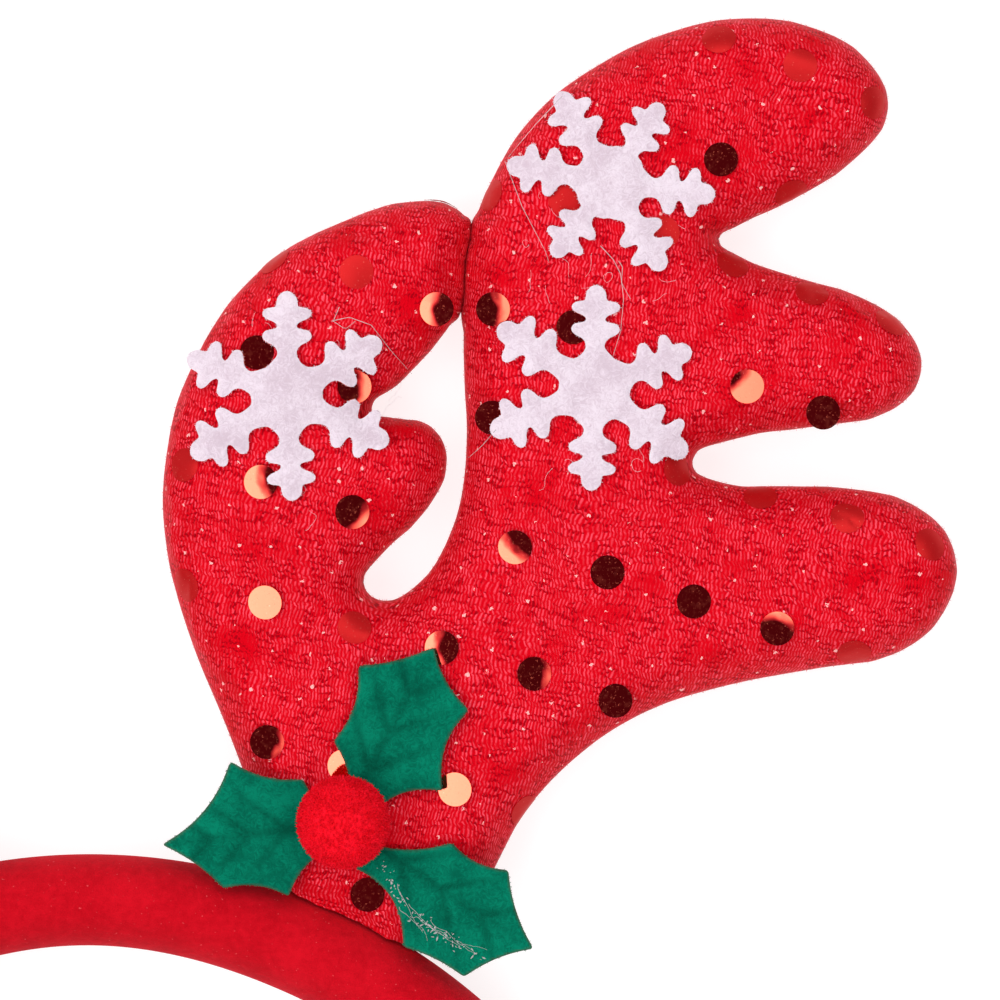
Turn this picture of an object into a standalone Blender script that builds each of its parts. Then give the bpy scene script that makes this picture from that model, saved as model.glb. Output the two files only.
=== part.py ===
"""Reindeer antler headband: a padded velvet hoop, two padded antlers, felt holly, pompoms and snowflakes.

It lies on its back. The hoop is in the XY plane, +Y runs from the hoop's ends to the antlers' tops, and +Z
is the front. Right and left are as seen from the front. The shapes are drawn round the centre of the hoop's
crown, at the middle of the antlers' thickness, and an empty then sets the whole down on the floor.
"""

import math

import bmesh
import bpy
import numpy as np
from mathutils import Matrix, Vector
from mathutils.geometry import delaunay_2d_cdt

# Hoop, in metres
HOOP_RADIUS = 0.0706  # outer edge, over the crown of the head
CROWN_SWEEP = math.radians(75)  # how far down each side the crown's arc runs
LEG_RADIUS = 0.1160  # outer edge of each straighter leg
LEG_LENGTH = 0.0740
BAND_THICKNESS = 0.0111  # at the middle of the crown, in the hoop's plane
BAND_SIDE_THICKNESS = 0.0120  # from the antlers down to the legs
BAND_END_THICKNESS = 0.0092
BAND_DEPTH = 0.0130  # front to back, at the middle of the crown
BAND_FLAT = 0.0045  # width of the strip pressed flat at the back
RING_SPACING = 0.0055  # between the band's cross sections

# Antlers
SEAT_ANGLE = math.radians(27)  # from the middle of the crown to the middle of an antler's foot, as drawn
ANTLER_LEAN = math.radians(1.2)  # how far each antler and its trims then turn outwards about the hoop's middle
SEAT_WIDTH = 0.0178  # the foot, measured along the band
SEAT_SINK = 0.0020  # how far the foot reaches into the band before the band is cut from it
ANTLER_WIDTH = 0.0933
ANTLER_RISE = 0.1058  # from the band to the top of the upper tine
ANTLER_THICKNESS = 0.0118
EDGE_ROLL = 0.0050  # width of the rounded edge
PADDING_RISE = 0.0012  # how far the middle stands above the rounded edge
PADDING_RUN = 0.0120  # width of that rise

# Felt trims and pompom
FELT = 0.0010
FLAKE_RADIUS = 0.0123
FLAKE_DROOP = 0.0015  # how far a snowflake bends down at the antler's rounded edge
LEAF_REACH = 0.0212  # from the pompom's middle to a leaf's tip, about
LEAF_FOLD = 0.0011  # how far a leaf's edges stand above its middle vein
LEAF_FOLD_WIDTH = 0.0064  # from the vein out to where the fold is full
LEAF_FOLD_START = 0.0106  # from the pompom's rim out to where the fold is full
POMPOM_DIAMETER = 0.0114
POMPOM_TUFT = 0.0006
POMPOM_SEAT = 0.0036  # radius of the glued face behind it
CLEARANCE = 0.0003  # between pieces that touch

# Shares of the antler's width and rise, from the middle of its foot, clockwise from the foot's inner corner.
ANTLER_OUTLINE = (
    ("stem, inner side", ((-0.139, 0.134), (-0.172, 0.212), (-0.221, 0.320), (-0.250, 0.428))),
    ("curl, outer side", ((-0.247, 0.518), (-0.221, 0.602), (-0.132, 0.718), (-0.022, 0.775), (0.073, 0.797))),
    ("curl, tip", ((0.119, 0.788), (0.134, 0.770), (0.127, 0.729), (0.124, 0.683))),
    ("curl, inner side", ((0.105, 0.651), (0.045, 0.592), (0.012, 0.564))),
    ("small tine", ((0.039, 0.556), (0.085, 0.547), (0.107, 0.509), (0.080, 0.452), (0.018, 0.397))),
    ("slot under the small tine", ((0.002, 0.372), (0.023, 0.353), (0.063, 0.366))),
    ("main branch, inner side", ((0.105, 0.416), (0.129, 0.498), (0.127, 0.631), (0.132, 0.720), (0.141, 0.771))),
    ("upper tine, upper side", ((0.160, 0.815), (0.215, 0.891), (0.303, 0.951), (0.389, 0.985), (0.480, 1.000))),
    ("upper tine, tip", ((0.573, 0.988), (0.640, 0.950), (0.663, 0.897), (0.625, 0.846))),
    ("upper tine, lower side", ((0.539, 0.796), (0.470, 0.767), (0.450, 0.754), (0.470, 0.738))),
    ("middle tine", ((0.544, 0.713), (0.633, 0.688), (0.692, 0.648), (0.704, 0.603), (0.668, 0.564), (0.577, 0.546))),
    ("under the middle tine", ((0.464, 0.530), (0.416, 0.506), (0.453, 0.484))),
    ("lower tine", ((0.527, 0.480), (0.615, 0.477), (0.697, 0.458), (0.746, 0.409), (0.736, 0.343), (0.675, 0.294))),
    ("stem, outer side", ((0.577, 0.277), (0.453, 0.256), (0.350, 0.225), (0.261, 0.171), (0.199, 0.110))),
)

# Middle of each snowflake in shares of the antler's width and rise, then its six arms, clockwise: direction in
# degrees and length as a share of the radius. The felt is stretched a little, so the arms are uneven.
FLAKES = {
    "curl": ((-0.0934, 0.5789), ((90, 1.00), (31, 1.04), (-25, 1.06), (-87, 0.99), (-148, 1.07), (-202, 1.02))),
    "middle": ((0.2921, 0.5877), ((89, 0.98), (22, 0.99), (-36, 1.08), (-92, 0.97), (-157, 1.07), (-213, 1.09))),
    "top": ((0.3122, 0.8160), ((120, 0.99), (57, 0.89), (-7, 1.00), (-59, 0.97), (-128, 0.89), (-190, 1.00))),
}

# Half of a snowflake's arm, out to its tip: share of the radius along the arm, and across it.
FLAKE_ARM = (
    ("neck", 0.40, 0.115),
    ("inner lobe", 0.52, 0.225),
    ("inner lobe, far side", 0.60, 0.215),
    ("waist", 0.675, 0.095),
    ("outer lobe", 0.75, 0.225),
    ("outer lobe, far side", 0.82, 0.215),
    ("tip lobe", 0.91, 0.105),
    ("tip", 0.99, 0.060),
)
FLAKE_NOTCH = 0.34  # share of the radius from the middle to the bottom of the notch between two arms

POMPOM_PLACE = (-0.025, 0.1066)  # shares of the antler's width and rise

# Points of each leaf from the pompom's middle, in shares of the leaf's reach, and how deep the edge that follows
# is hollowed, as a share of that edge. The first point is the leaf's tip. The edge under the pompom is straight.
LEAVES = {
    "upper": (
        ("tip", 0.507, 0.972, 0.08),
        ("outer spike", 0.702, 0.625, 0.13),
        ("lower outer spike", 0.557, 0.178, 0.12),
        ("base", 0.197, 0.086, 0.00),
        ("base", 0.052, 0.197, 0.06),
        ("lower inner spike", -0.046, 0.453, 0.11),
        ("inner spike", 0.091, 0.869, 0.05),
    ),
    "inner": (
        ("tip", -0.992, -0.119, 0.10),
        ("upper spike", -0.614, 0.342, 0.09),
        ("upper base spike", -0.214, 0.242, 0.05),
        ("base", -0.064, 0.036, 0.00),
        ("base", -0.048, -0.136, 0.12),
        ("lower base spike", -0.292, -0.403, 0.10),
        ("lower spike", -0.653, -0.358, 0.05),
    ),
    "outer": (
        ("tip", 1.058, -0.692, 0.06),
        ("lower spike", 0.674, -0.847, 0.05),
        ("lower base spike", 0.341, -0.681, 0.17),
        ("base", 0.052, -0.236, 0.00),
        ("base", 0.130, -0.108, 0.08),
        ("upper base spike", 0.608, -0.108, 0.11),
        ("upper spike", 0.919, -0.258, 0.06),
    ),
}

ANTLER_ROUND = 3  # steps between two knots of the antler's outline
LEAF_ROUND = 4  # steps along a leaf's hollowed edge

# Rings of points over the rounded edge: distance from the outline and spacing, in shares of the edge's width.
ROLL_RINGS = ((0.09, 0.25), (0.30, 0.38), (0.62, 0.57), (1.0, 0.80))
PADDING_GRID = 0.0072  # points over the padded middle
FLAT_GRID = 0.0060  # points over a leaf
MERGE = 1e-6


def clear_scene():
    for obj in list(bpy.data.objects):
        bpy.data.objects.remove(obj, do_unlink=True)


def make_collection(name):
    collection = bpy.data.collections.new(name)
    bpy.context.scene.collection.children.link(collection)
    return collection


def make_material(name, color, roughness, metallic=0.0):
    material = bpy.data.materials.new(name)
    material.use_nodes = True
    shader = material.node_tree.nodes["Principled BSDF"]
    shader.inputs["Base Color"].default_value = (*color, 1.0)
    shader.inputs["Roughness"].default_value = roughness
    shader.inputs["Metallic"].default_value = metallic
    material.diffuse_color = (*color, 1.0)
    return material


def place(name, mesh, collection, material=None):
    """Add a mesh as one named part, smooth except at its creases."""
    obj = bpy.data.objects.new(name, mesh)
    collection.objects.link(obj)
    obj.parent = resting_place
    if material:
        mesh.materials.append(material)
    mesh.shade_smooth()
    mesh.set_sharp_from_angle(angle=math.radians(40))
    return obj


def finished_mesh(name, form):
    mesh = bpy.data.meshes.new(name)
    form.to_mesh(mesh)
    form.free()
    return mesh


def leaned_mesh(name, form, side):
    """A mesh from a form drawn for the right side, leaned outwards, then mirrored when the side is -1."""
    bmesh.ops.rotate(form, verts=form.verts, cent=(0, 0, 0), matrix=Matrix.Rotation(-ANTLER_LEAN, 3, "Z"))
    if side < 0:
        bmesh.ops.scale(form, verts=form.verts, vec=(-1, 1, 1))
        bmesh.ops.reverse_faces(form, faces=form.faces)
    return finished_mesh(name, form)


def evaluated_mesh(obj):
    graph = bpy.context.evaluated_depsgraph_get()
    return bpy.data.meshes.new_from_object(obj.evaluated_get(graph))


def flatten_back(form, height):
    """Cut a form off below a height and close it with a flat face."""
    everything = form.verts[:] + form.edges[:] + form.faces[:]
    cut = bmesh.ops.bisect_plane(
        form, geom=everything, plane_co=(0, 0, height), plane_no=(0, 0, -1), clear_outer=True, dist=MERGE
    )
    rim = [piece for piece in cut["geom_cut"] if isinstance(piece, bmesh.types.BMEdge)]
    bmesh.ops.contextual_create(form, geom=rim)


# Band


def band_half_thickness(sweep):
    """Half the thickness at an angle from the middle of the crown, swelling towards the antlers."""
    swell = min(abs(sweep) / SEAT_ANGLE, 1.0)
    swell = swell * swell * (3 - 2 * swell)
    return (BAND_THICKNESS + (BAND_SIDE_THICKNESS - BAND_THICKNESS) * swell) / 2


def leg_taper(run):
    """Half the thickness at a length down a leg, before its end is rounded."""
    return (BAND_SIDE_THICKNESS + (BAND_END_THICKNESS - BAND_SIDE_THICKNESS) * run / LEG_LENGTH) / 2


def leg_half_thickness(run):
    """Half the thickness at a length down a leg, with its round end."""
    past = max(0.0, run - (LEG_LENGTH - BAND_END_THICKNESS / 2)) / (BAND_END_THICKNESS / 2)
    return leg_taper(run) * math.sqrt(1 - past * past)


def leg_runs():
    """Lengths down a leg where it has a cross section, closer together round its end."""
    straight = LEG_LENGTH - BAND_END_THICKNESS / 2
    steps = round(straight / RING_SPACING)
    runs = [straight * step / steps for step in range(1, steps + 1)]
    return runs + [straight + BAND_END_THICKNESS / 2 * share for share in (0.4, 0.7, 0.9, 0.99)]


def band_path():
    """Points of the band's middle line and its half thickness at each, from the left end to the right."""
    steps = round(CROWN_SWEEP * HOOP_RADIUS / RING_SPACING)
    path = []
    for step in range(steps + 1):
        sweep = CROWN_SWEEP * step / steps
        half = band_half_thickness(sweep)
        path.append(((HOOP_RADIUS - half) * math.sin(sweep), (HOOP_RADIUS - half) * math.cos(sweep), half))
    leg_x = (HOOP_RADIUS - LEG_RADIUS) * math.sin(CROWN_SWEEP)
    leg_y = (HOOP_RADIUS - LEG_RADIUS) * math.cos(CROWN_SWEEP)
    for run in leg_runs():
        sweep = CROWN_SWEEP + run / LEG_RADIUS
        middle = LEG_RADIUS - leg_taper(run)
        half = leg_half_thickness(run)
        path.append((leg_x + middle * math.sin(sweep), leg_y + middle * math.cos(sweep), half))
    left_side = [(-x, y, half) for x, y, half in reversed(path[1:])]
    return left_side + path


def band_mesh(grow):
    """The padded tube, its back pressed flat. grow is the clearance that a cutter adds all round."""
    curve = bpy.data.curves.new("band_path", "CURVE")
    curve.dimensions = "3D"
    curve.twist_mode = "Z_UP"
    curve.bevel_depth = 1.0
    curve.bevel_resolution = 5
    curve.use_fill_caps = True
    path = band_path()
    spline = curve.splines.new("POLY")
    spline.points.add(len(path) - 1)
    for point, (x, y, half) in zip(spline.points, path):
        point.co = (x, y, 0, 1)
        point.radius = half + grow
    guide = bpy.data.objects.new("band_path", curve)
    bpy.context.scene.collection.objects.link(guide)
    mesh = evaluated_mesh(guide)
    bpy.data.objects.remove(guide, do_unlink=True)

    form = bmesh.new()
    form.from_mesh(mesh)
    bmesh.ops.remove_doubles(form, verts=form.verts, dist=MERGE)
    bmesh.ops.scale(form, verts=form.verts, vec=(1, 1, BAND_DEPTH / BAND_THICKNESS))
    flat_at = BAND_DEPTH / 2 * math.sqrt(1 - (BAND_FLAT / BAND_THICKNESS) ** 2) + grow
    flatten_back(form, -flat_at)
    bmesh.ops.recalc_face_normals(form, faces=form.faces)
    bpy.data.meshes.remove(mesh)
    return finished_mesh("band", form)


def band_front(points):
    """Height of the band's front over each point near its crown, or a negative number beside the band."""
    radius = np.hypot(points[:, 0], points[:, 1])
    half = np.array([band_half_thickness(math.atan2(x, y)) for x, y in points])
    across = (radius - (HOOP_RADIUS - half)) / half
    height = half * BAND_DEPTH / BAND_THICKNESS * np.sqrt(np.clip(1 - across**2, 0, 1))
    return np.where(np.abs(across) < 1, height, -1.0)


# Outlines


def smooth_loop(knots, steps):
    """Points of a smooth closed curve through the knots."""
    curve = bpy.data.curves.new("outline", "CURVE")
    curve.dimensions = "2D"
    curve.fill_mode = "NONE"
    spline = curve.splines.new("BEZIER")
    spline.bezier_points.add(len(knots) - 1)
    for point, (x, y) in zip(spline.bezier_points, knots):
        point.co = (x, y, 0)
        point.handle_left_type = "AUTO"
        point.handle_right_type = "AUTO"
    spline.use_cyclic_u = True
    spline.resolution_u = steps
    guide = bpy.data.objects.new("outline", curve)
    bpy.context.scene.collection.objects.link(guide)
    mesh = evaluated_mesh(guide)
    points = np.array([vertex.co.xy for vertex in mesh.vertices])
    bpy.data.objects.remove(guide, do_unlink=True)
    bpy.data.meshes.remove(mesh)
    return points


def edge_distance(points, outline):
    """Distance from each point to the closed outline."""
    start = outline
    along = np.roll(outline, -1, axis=0) - start
    offset = points[:, None, :] - start[None]
    share = np.clip((offset * along).sum(2) / (along**2).sum(1), 0, 1)
    return np.sqrt(((offset - share[..., None] * along) ** 2).sum(2)).min(1)


def inside(points, outline):
    """Whether each point is inside the closed outline."""
    x, y = points[:, 0:1], points[:, 1:2]
    x0, y0 = outline[:, 0], outline[:, 1]
    x1, y1 = np.roll(x0, -1), np.roll(y0, -1)
    crosses = (y0 > y) != (y1 > y)
    rise = np.where(y1 == y0, 1, y1 - y0)
    return (crosses & (x < x0 + (y - y0) * (x1 - x0) / rise)).sum(1) % 2 == 1


def grid_points(outline, spacing, margin):
    """Staggered points inside the outline, at least the margin from it."""
    low, high = outline.min(0), outline.max(0)
    rows = []
    for row, y in enumerate(np.arange(low[1], high[1], spacing * 0.87)):
        shift = spacing / 2 * (row % 2)
        rows += [(x, y) for x in np.arange(low[0] + shift, high[0], spacing)]
    points = np.array(rows)
    keep = inside(points, outline)
    keep &= edge_distance(points, outline) > margin
    return points[keep]


def ring_points(outline, offset, spacing):
    """Points at one distance inside the outline, at least the spacing apart."""
    along = np.roll(outline, -1, axis=0) - np.roll(outline, 1, axis=0)
    along /= np.linalg.norm(along, axis=1)[:, None]
    inward = np.stack([along[:, 1], -along[:, 0]], axis=1)
    ring = outline + inward * offset
    good = inside(ring, outline) & (edge_distance(ring, outline) > 0.96 * offset)
    kept = []
    for point in ring[good]:
        if all(math.dist(point, other) >= spacing for other in kept):
            kept.append(point)
    return kept


def flat_form(outline, inner_points):
    """An open flat mesh that fills the outline and passes through the inner points."""
    points = [Vector(point) for point in outline] + [Vector(point) for point in inner_points]
    border = [(i, (i + 1) % len(outline)) for i in range(len(outline))]
    made = delaunay_2d_cdt(points, border, [], 1, MERGE)
    form = bmesh.new()
    corners = [form.verts.new((*point, 0)) for point in made[0]]
    for face in made[2]:
        form.faces.new([corners[i] for i in face])
    loose = [corner for corner in corners if not corner.link_faces]
    bmesh.ops.delete(form, geom=loose, context="VERTS")
    return form


def raise_to(form, heights):
    """Give each vertex of a flat form its height."""
    for corner, height in zip(form.verts, heights):
        corner.co.z = height


def flat_points(form):
    return np.array([corner.co.xy for corner in form.verts])


# Antler


def seat_point(along, sink):
    """A point at a length along the band from the middle of the foot, and a depth inside the band's edge."""
    sweep = SEAT_ANGLE + along / HOOP_RADIUS
    return (HOOP_RADIUS - sink) * math.sin(sweep), (HOOP_RADIUS - sink) * math.cos(sweep)


def antler_point(x_share, y_share):
    seat_x, seat_y = seat_point(0, 0)
    return seat_x + x_share * ANTLER_WIDTH, seat_y + y_share * ANTLER_RISE


def antler_outline():
    """The right antler's outline, with a foot that follows the band."""
    knots = [antler_point(*share) for _, shares in ANTLER_OUTLINE for share in shares]
    knots += [seat_point(SEAT_WIDTH / 2 * share, SEAT_SINK) for share in (1, 0, -1)]
    return smooth_loop(knots, ANTLER_ROUND)


def padded_height(distance):
    """Height of the padding above the antler's middle, at a distance from its outline."""
    edge = ANTLER_THICKNESS / 2 - PADDING_RISE
    roll = 1 - np.minimum(distance / EDGE_ROLL, 1)
    rise = np.minimum(distance / PADDING_RUN, 1) * math.pi / 2
    return edge * np.sqrt(1 - roll**2) + PADDING_RISE * np.sin(rise)


def build_antler(name, side):
    """One padded antler: its front half, mirrored to the back, with the band cut from its foot."""
    outline = antler_outline()
    inner = []
    for offset, spacing in ROLL_RINGS:
        inner += ring_points(outline, EDGE_ROLL * offset, EDGE_ROLL * spacing)
    inner += list(grid_points(outline, PADDING_GRID, EDGE_ROLL + PADDING_GRID * 0.45))
    form = flat_form(outline, inner)
    distance = edge_distance(flat_points(form), outline)
    raise_to(form, np.where(distance < MERGE * 10, 0, padded_height(distance)))
    antler = place(name, leaned_mesh(name, form, side), parts, knit)
    back = antler.modifiers.new("back half", "MIRROR")
    back.use_axis = (False, False, True)
    back.merge_threshold = MERGE
    seat = antler.modifiers.new("seat on the band", "BOOLEAN")
    seat.operation = "DIFFERENCE"
    seat.object = band_cutter
    return antler


# Felt


def build_felt(name, form, side, material):
    """A felt shape from an open surface: its underside is the surface."""
    felt = place(name, leaned_mesh(name, form, side), parts, material)
    wall = felt.modifiers.new("felt", "SOLIDIFY")
    wall.thickness = FELT
    wall.offset = 1
    return felt


def flake_outline(middle, arms):
    """Six arms, each with two pairs of round lobes and a round tip, with a notch after each arm."""
    points = []
    for (turn, length), (next_turn, _) in zip(arms, arms[1:] + ((arms[0][0] - 360, 1),)):
        direction = math.radians(turn)
        out = np.array((math.cos(direction), math.sin(direction)))
        left = np.array((-out[1], out[0]))
        points += [(out * along + left * across) * length for _, along, across in FLAKE_ARM]
        points += [(out * along - left * across) * length for _, along, across in reversed(FLAKE_ARM)]
        notch = math.radians((turn + next_turn) / 2)
        points.append(np.array((math.cos(notch), math.sin(notch))) * FLAKE_NOTCH)
    return np.array(points) * FLAKE_RADIUS + middle


def build_flake(name, place_shares, arms, side):
    """One snowflake, bent over the antler's front."""
    middle = np.array(antler_point(*place_shares))
    form = flat_form(flake_outline(middle, arms), [middle])
    points = flat_points(form)
    outline = antler_outline()
    on_antler = np.where(inside(points, outline), edge_distance(points, outline), 0)
    height = np.maximum(padded_height(on_antler), ANTLER_THICKNESS / 2 - FLAKE_DROOP)
    raise_to(form, height + CLEARANCE)
    return build_felt(name, form, side, white_felt)


def leaf_outline(spikes, middle):
    """A closed outline of spikes joined by hollowed edges."""
    points = []
    for (_, x, y, hollow), (_, next_x, next_y, _) in zip(spikes, spikes[1:] + spikes[:1]):
        for step in range(LEAF_ROUND if hollow else 1):
            share = step / LEAF_ROUND
            sag = 4 * hollow * share * (1 - share)
            run_x, run_y = next_x - x, next_y - y
            points.append((x + run_x * share + run_y * sag, y + run_y * share - run_x * sag))
    return np.array(points) * LEAF_REACH + middle


def build_leaf(name, spikes, side):
    """One holly leaf, lying on the padded front, its two halves folded up from the middle vein."""
    middle = np.array(antler_point(*POMPOM_PLACE))
    outline = leaf_outline(spikes, middle)
    bases = [np.array((x, y)) for label, x, y, _ in spikes if label == "base"]
    vein_start = middle + sum(bases) / 2 * LEAF_REACH
    vein_end = outline[0]
    vein = [vein_start + (vein_end - vein_start) * share for share in (0.2, 0.4, 0.6, 0.8)]
    form = flat_form(outline, vein + list(grid_points(outline, FLAT_GRID, FLAT_GRID * 0.3)))
    points = flat_points(form)
    direction = (vein_end - vein_start) / np.linalg.norm(vein_end - vein_start)
    offset = points - vein_start
    across = np.abs(offset[:, 0] * direction[1] - offset[:, 1] * direction[0])
    past_pompom = np.linalg.norm(points - middle, axis=1) - POMPOM_DIAMETER / 2
    fold = LEAF_FOLD * np.minimum(across / LEAF_FOLD_WIDTH, 1) * np.clip(past_pompom / LEAF_FOLD_START, 0, 1)
    rest = np.maximum(ANTLER_THICKNESS / 2, band_front(points))
    raise_to(form, rest + CLEARANCE + fold)
    return build_felt(name, form, side, green_felt)


# Pompom


def build_pompom(name, side):
    """A ball of short locks, flat where it is glued to the leaves."""
    x, y = antler_point(*POMPOM_PLACE)
    radius = POMPOM_DIAMETER / 2
    form = bmesh.new()
    bmesh.ops.create_icosphere(form, subdivisions=2, radius=radius - POMPOM_TUFT)
    bmesh.ops.inset_individual(form, faces=form.faces[:], thickness=POMPOM_TUFT, depth=POMPOM_TUFT)
    sink = math.sqrt(radius**2 - POMPOM_SEAT**2)
    flatten_back(form, -sink)
    leaf_top = ANTLER_THICKNESS / 2 + CLEARANCE + FELT
    bmesh.ops.translate(form, verts=form.verts, vec=(x, y, leaf_top + CLEARANCE + sink))
    return place(name, leaned_mesh(name, form, side), parts, red_pile)


def set_down():
    """Move the whole so that it stands on the floor, with its middle over the origin."""
    graph = bpy.context.evaluated_depsgraph_get()
    low = np.full(3, np.inf)
    high = np.full(3, -np.inf)
    for obj in parts.objects:
        mesh = obj.evaluated_get(graph).to_mesh()
        corners = np.array([vertex.co for vertex in mesh.vertices])
        low = np.minimum(low, corners.min(0))
        high = np.maximum(high, corners.max(0))
    middle = (low + high) / 2
    resting_place.location = (-middle[0], -middle[1], -low[2])


clear_scene()
parts = make_collection("reindeer antler headband")
cutters = make_collection("cutters")
resting_place = bpy.data.objects.new("resting_place", None)
bpy.context.scene.collection.objects.link(resting_place)

velvet = make_material("red velvet", (0.62, 0.01, 0.02), 0.9)
knit = make_material("red metallic knit", (0.65, 0.01, 0.03), 0.45, 0.3)
white_felt = make_material("white felt", (0.80, 0.78, 0.84), 0.95)
green_felt = make_material("green felt", (0.0, 0.17, 0.09), 0.95)
red_pile = make_material("red pompom pile", (0.85, 0.01, 0.03), 0.95)

band_cutter = place("band_cutter", band_mesh(CLEARANCE), cutters)
band_cutter.hide_render = True
band_cutter.display_type = "WIRE"
place("headband", band_mesh(0), parts, velvet)

for side_name, side in (("right", 1), ("left", -1)):
    build_antler(f"antler_{side_name}", side)
    for flake, (place_shares, arms) in FLAKES.items():
        build_flake(f"flake_{flake}_{side_name}", place_shares, arms, side)
    for leaf, spikes in LEAVES.items():
        build_leaf(f"leaf_{leaf}_{side_name}", spikes, side)
    build_pompom(f"pompom_{side_name}", side)

set_down()
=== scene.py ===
import math
import random

import bmesh
import bpy
import numpy as np
from mathutils import Matrix, Vector, noise
from mathutils.bvhtree import BVHTree
from mathutils.kdtree import KDTree


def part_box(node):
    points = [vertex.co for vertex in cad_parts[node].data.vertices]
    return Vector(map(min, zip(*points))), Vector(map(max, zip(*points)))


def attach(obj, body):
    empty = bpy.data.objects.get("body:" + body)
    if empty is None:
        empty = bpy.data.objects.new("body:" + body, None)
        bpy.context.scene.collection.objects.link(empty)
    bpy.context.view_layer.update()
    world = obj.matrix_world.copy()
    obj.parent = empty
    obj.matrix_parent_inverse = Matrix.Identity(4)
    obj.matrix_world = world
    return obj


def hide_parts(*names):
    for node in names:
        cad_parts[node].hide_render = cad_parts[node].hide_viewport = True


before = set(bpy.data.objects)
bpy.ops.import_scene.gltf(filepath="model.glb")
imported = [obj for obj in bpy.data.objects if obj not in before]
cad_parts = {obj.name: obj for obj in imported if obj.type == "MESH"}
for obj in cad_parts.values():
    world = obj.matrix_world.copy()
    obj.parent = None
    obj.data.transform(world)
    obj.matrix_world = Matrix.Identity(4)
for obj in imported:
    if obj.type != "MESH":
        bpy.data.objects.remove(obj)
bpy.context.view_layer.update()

# Reindeer antler headband, lying on its back: a velvet hoop with two padded antlers of red metallic knit,
# and on each antler three felt holly leaves, a pompom, three felt snowflakes and foil sequins.
# Right and left are as seen from the front. The right side is made, and the left is its mirror image.

antlerLow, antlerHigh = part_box("antler_right")
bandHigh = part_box("headband")[1]
midHeight = (antlerLow.z + antlerHigh.z) / 2  # the sewn edge of the antlers
halfThick = (antlerHigh.z - antlerLow.z) / 2
mergeGap = 1e-6
skyHeight = 0.05  # above everything, where a look straight down starts
anyTurn = (0, 6.3)  # radians

# The photograph is square on to the headband, and a little turned, so a pixel gives a place on the front.
photo = {
    "pixelsPerMetre": 8500,
    "hoopColumn": 90,  # where the middle of the hoop's arc is
    "hoopRow": 1452,
    "turn": math.radians(1.2),
    "size": 1000,
}
hoopRadius = 0.0706  # the outer edge over the crown, as in the frame
hoopMiddle = np.array((0.0, bandHigh.y - hoopRadius))


def turned(x, y, turn):
    return np.array((x * math.cos(turn) - y * math.sin(turn), x * math.sin(turn) + y * math.cos(turn)))


def photoPlace(column, row):
    across = (column - photo["hoopColumn"]) / photo["pixelsPerMetre"]
    up = (photo["hoopRow"] - row) / photo["pixelsPerMetre"]
    return hoopMiddle + turned(across, up, -photo["turn"])


# Materials

class Wire:
    # a node's output, with arithmetic that adds Math nodes
    def __init__(self, paint, output):
        self.paint = paint
        self.output = output

    def __add__(self, other):
        return self.paint.maths("ADD", self, other)

    __radd__ = __add__

    def __sub__(self, other):
        return self.paint.maths("SUBTRACT", self, other)

    def __rsub__(self, other):
        return self.paint.maths("SUBTRACT", other, self)

    def __mul__(self, other):
        return self.paint.maths("MULTIPLY", self, other)

    __rmul__ = __mul__

    def __truediv__(self, other):
        return self.paint.maths("DIVIDE", self, other)

    def __lt__(self, other):
        return self.paint.maths("LESS_THAN", self, other)

    def __gt__(self, other):
        return self.paint.maths("GREATER_THAN", self, other)


class Paint:
    # a node tree under construction
    def __init__(self, owner):
        owner.use_nodes = True
        self.owner = owner
        self.tree = owner.node_tree
        self.tree.nodes.clear()

    def node(self, kind, settings=None, sockets=None, out=0):
        made = self.tree.nodes.new(kind)
        for key, value in (settings or {}).items():
            if key == "stops":
                ramp = made.color_ramp.elements
                while len(ramp) < len(value):
                    ramp.new(0.5)
                for stop, (place, shade) in zip(ramp, value):
                    stop.position = place
                    stop.color = (shade, shade, shade, 1)
            else:
                setattr(made, key, value)
        for key, value in (sockets or {}).items():
            if isinstance(value, Wire):
                self.tree.links.new(value.output, made.inputs[key])
            else:
                made.inputs[key].default_value = value
        return Wire(self, made.outputs[out]) if made.outputs else made

    def maths(self, operation, first, second=0.0):
        return self.node("ShaderNodeMath", {"operation": operation}, {0: first, 1: second})

    def limited(self, wire, low, high):
        # 0 below low, 1 above high, smooth between
        ranged = {"interpolation_type": "SMOOTHSTEP", "clamp": True}
        return self.node("ShaderNodeMapRange", ranged, {0: wire, 1: low, 2: high})

    def mixed(self, share, first, second, way="MIX"):
        colours = {"data_type": "RGBA", "blend_type": way, "clamp_result": False}
        return self.node("ShaderNodeMix", colours, {0: share, 6: first, 7: second}, out=2)

    def vector(self, operation, first, second):
        key = 3 if operation == "SCALE" else 1
        return self.node("ShaderNodeVectorMath", {"operation": operation}, {0: first, key: second})

    def parts(self, vector):
        split = self.tree.nodes.new("ShaderNodeSeparateXYZ")
        self.tree.links.new(vector.output, split.inputs[0])
        return [Wire(self, socket) for socket in split.outputs]

    def noise(self, vector, scale, detail=2.0, out=0, flat=False):
        settings = {"noise_dimensions": "2D" if flat else "3D"}
        return self.node("ShaderNodeTexNoise", settings,
                         {"Vector": vector, "Scale": scale, "Detail": detail}, out)

    def bump(self, height, distance, strength=1.0, under=None):
        sockets = {"Strength": strength, "Distance": distance, "Height": height}
        if under:
            sockets["Normal"] = under
        return self.node("ShaderNodeBump", None, sockets)

    def surface(self, sockets):
        shader = self.node("ShaderNodeBsdfPrincipled", None, sockets)
        self.node("ShaderNodeOutputMaterial", None, {"Surface": shader})
        return self.owner

    def millimetres(self):
        # the place on the piece
        place = self.node("ShaderNodeTexCoord", None, None, out=3)
        return self.vector("SCALE", place, 1000.0)


def newPaint(name):
    return Paint(bpy.data.materials.new(name))


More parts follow.
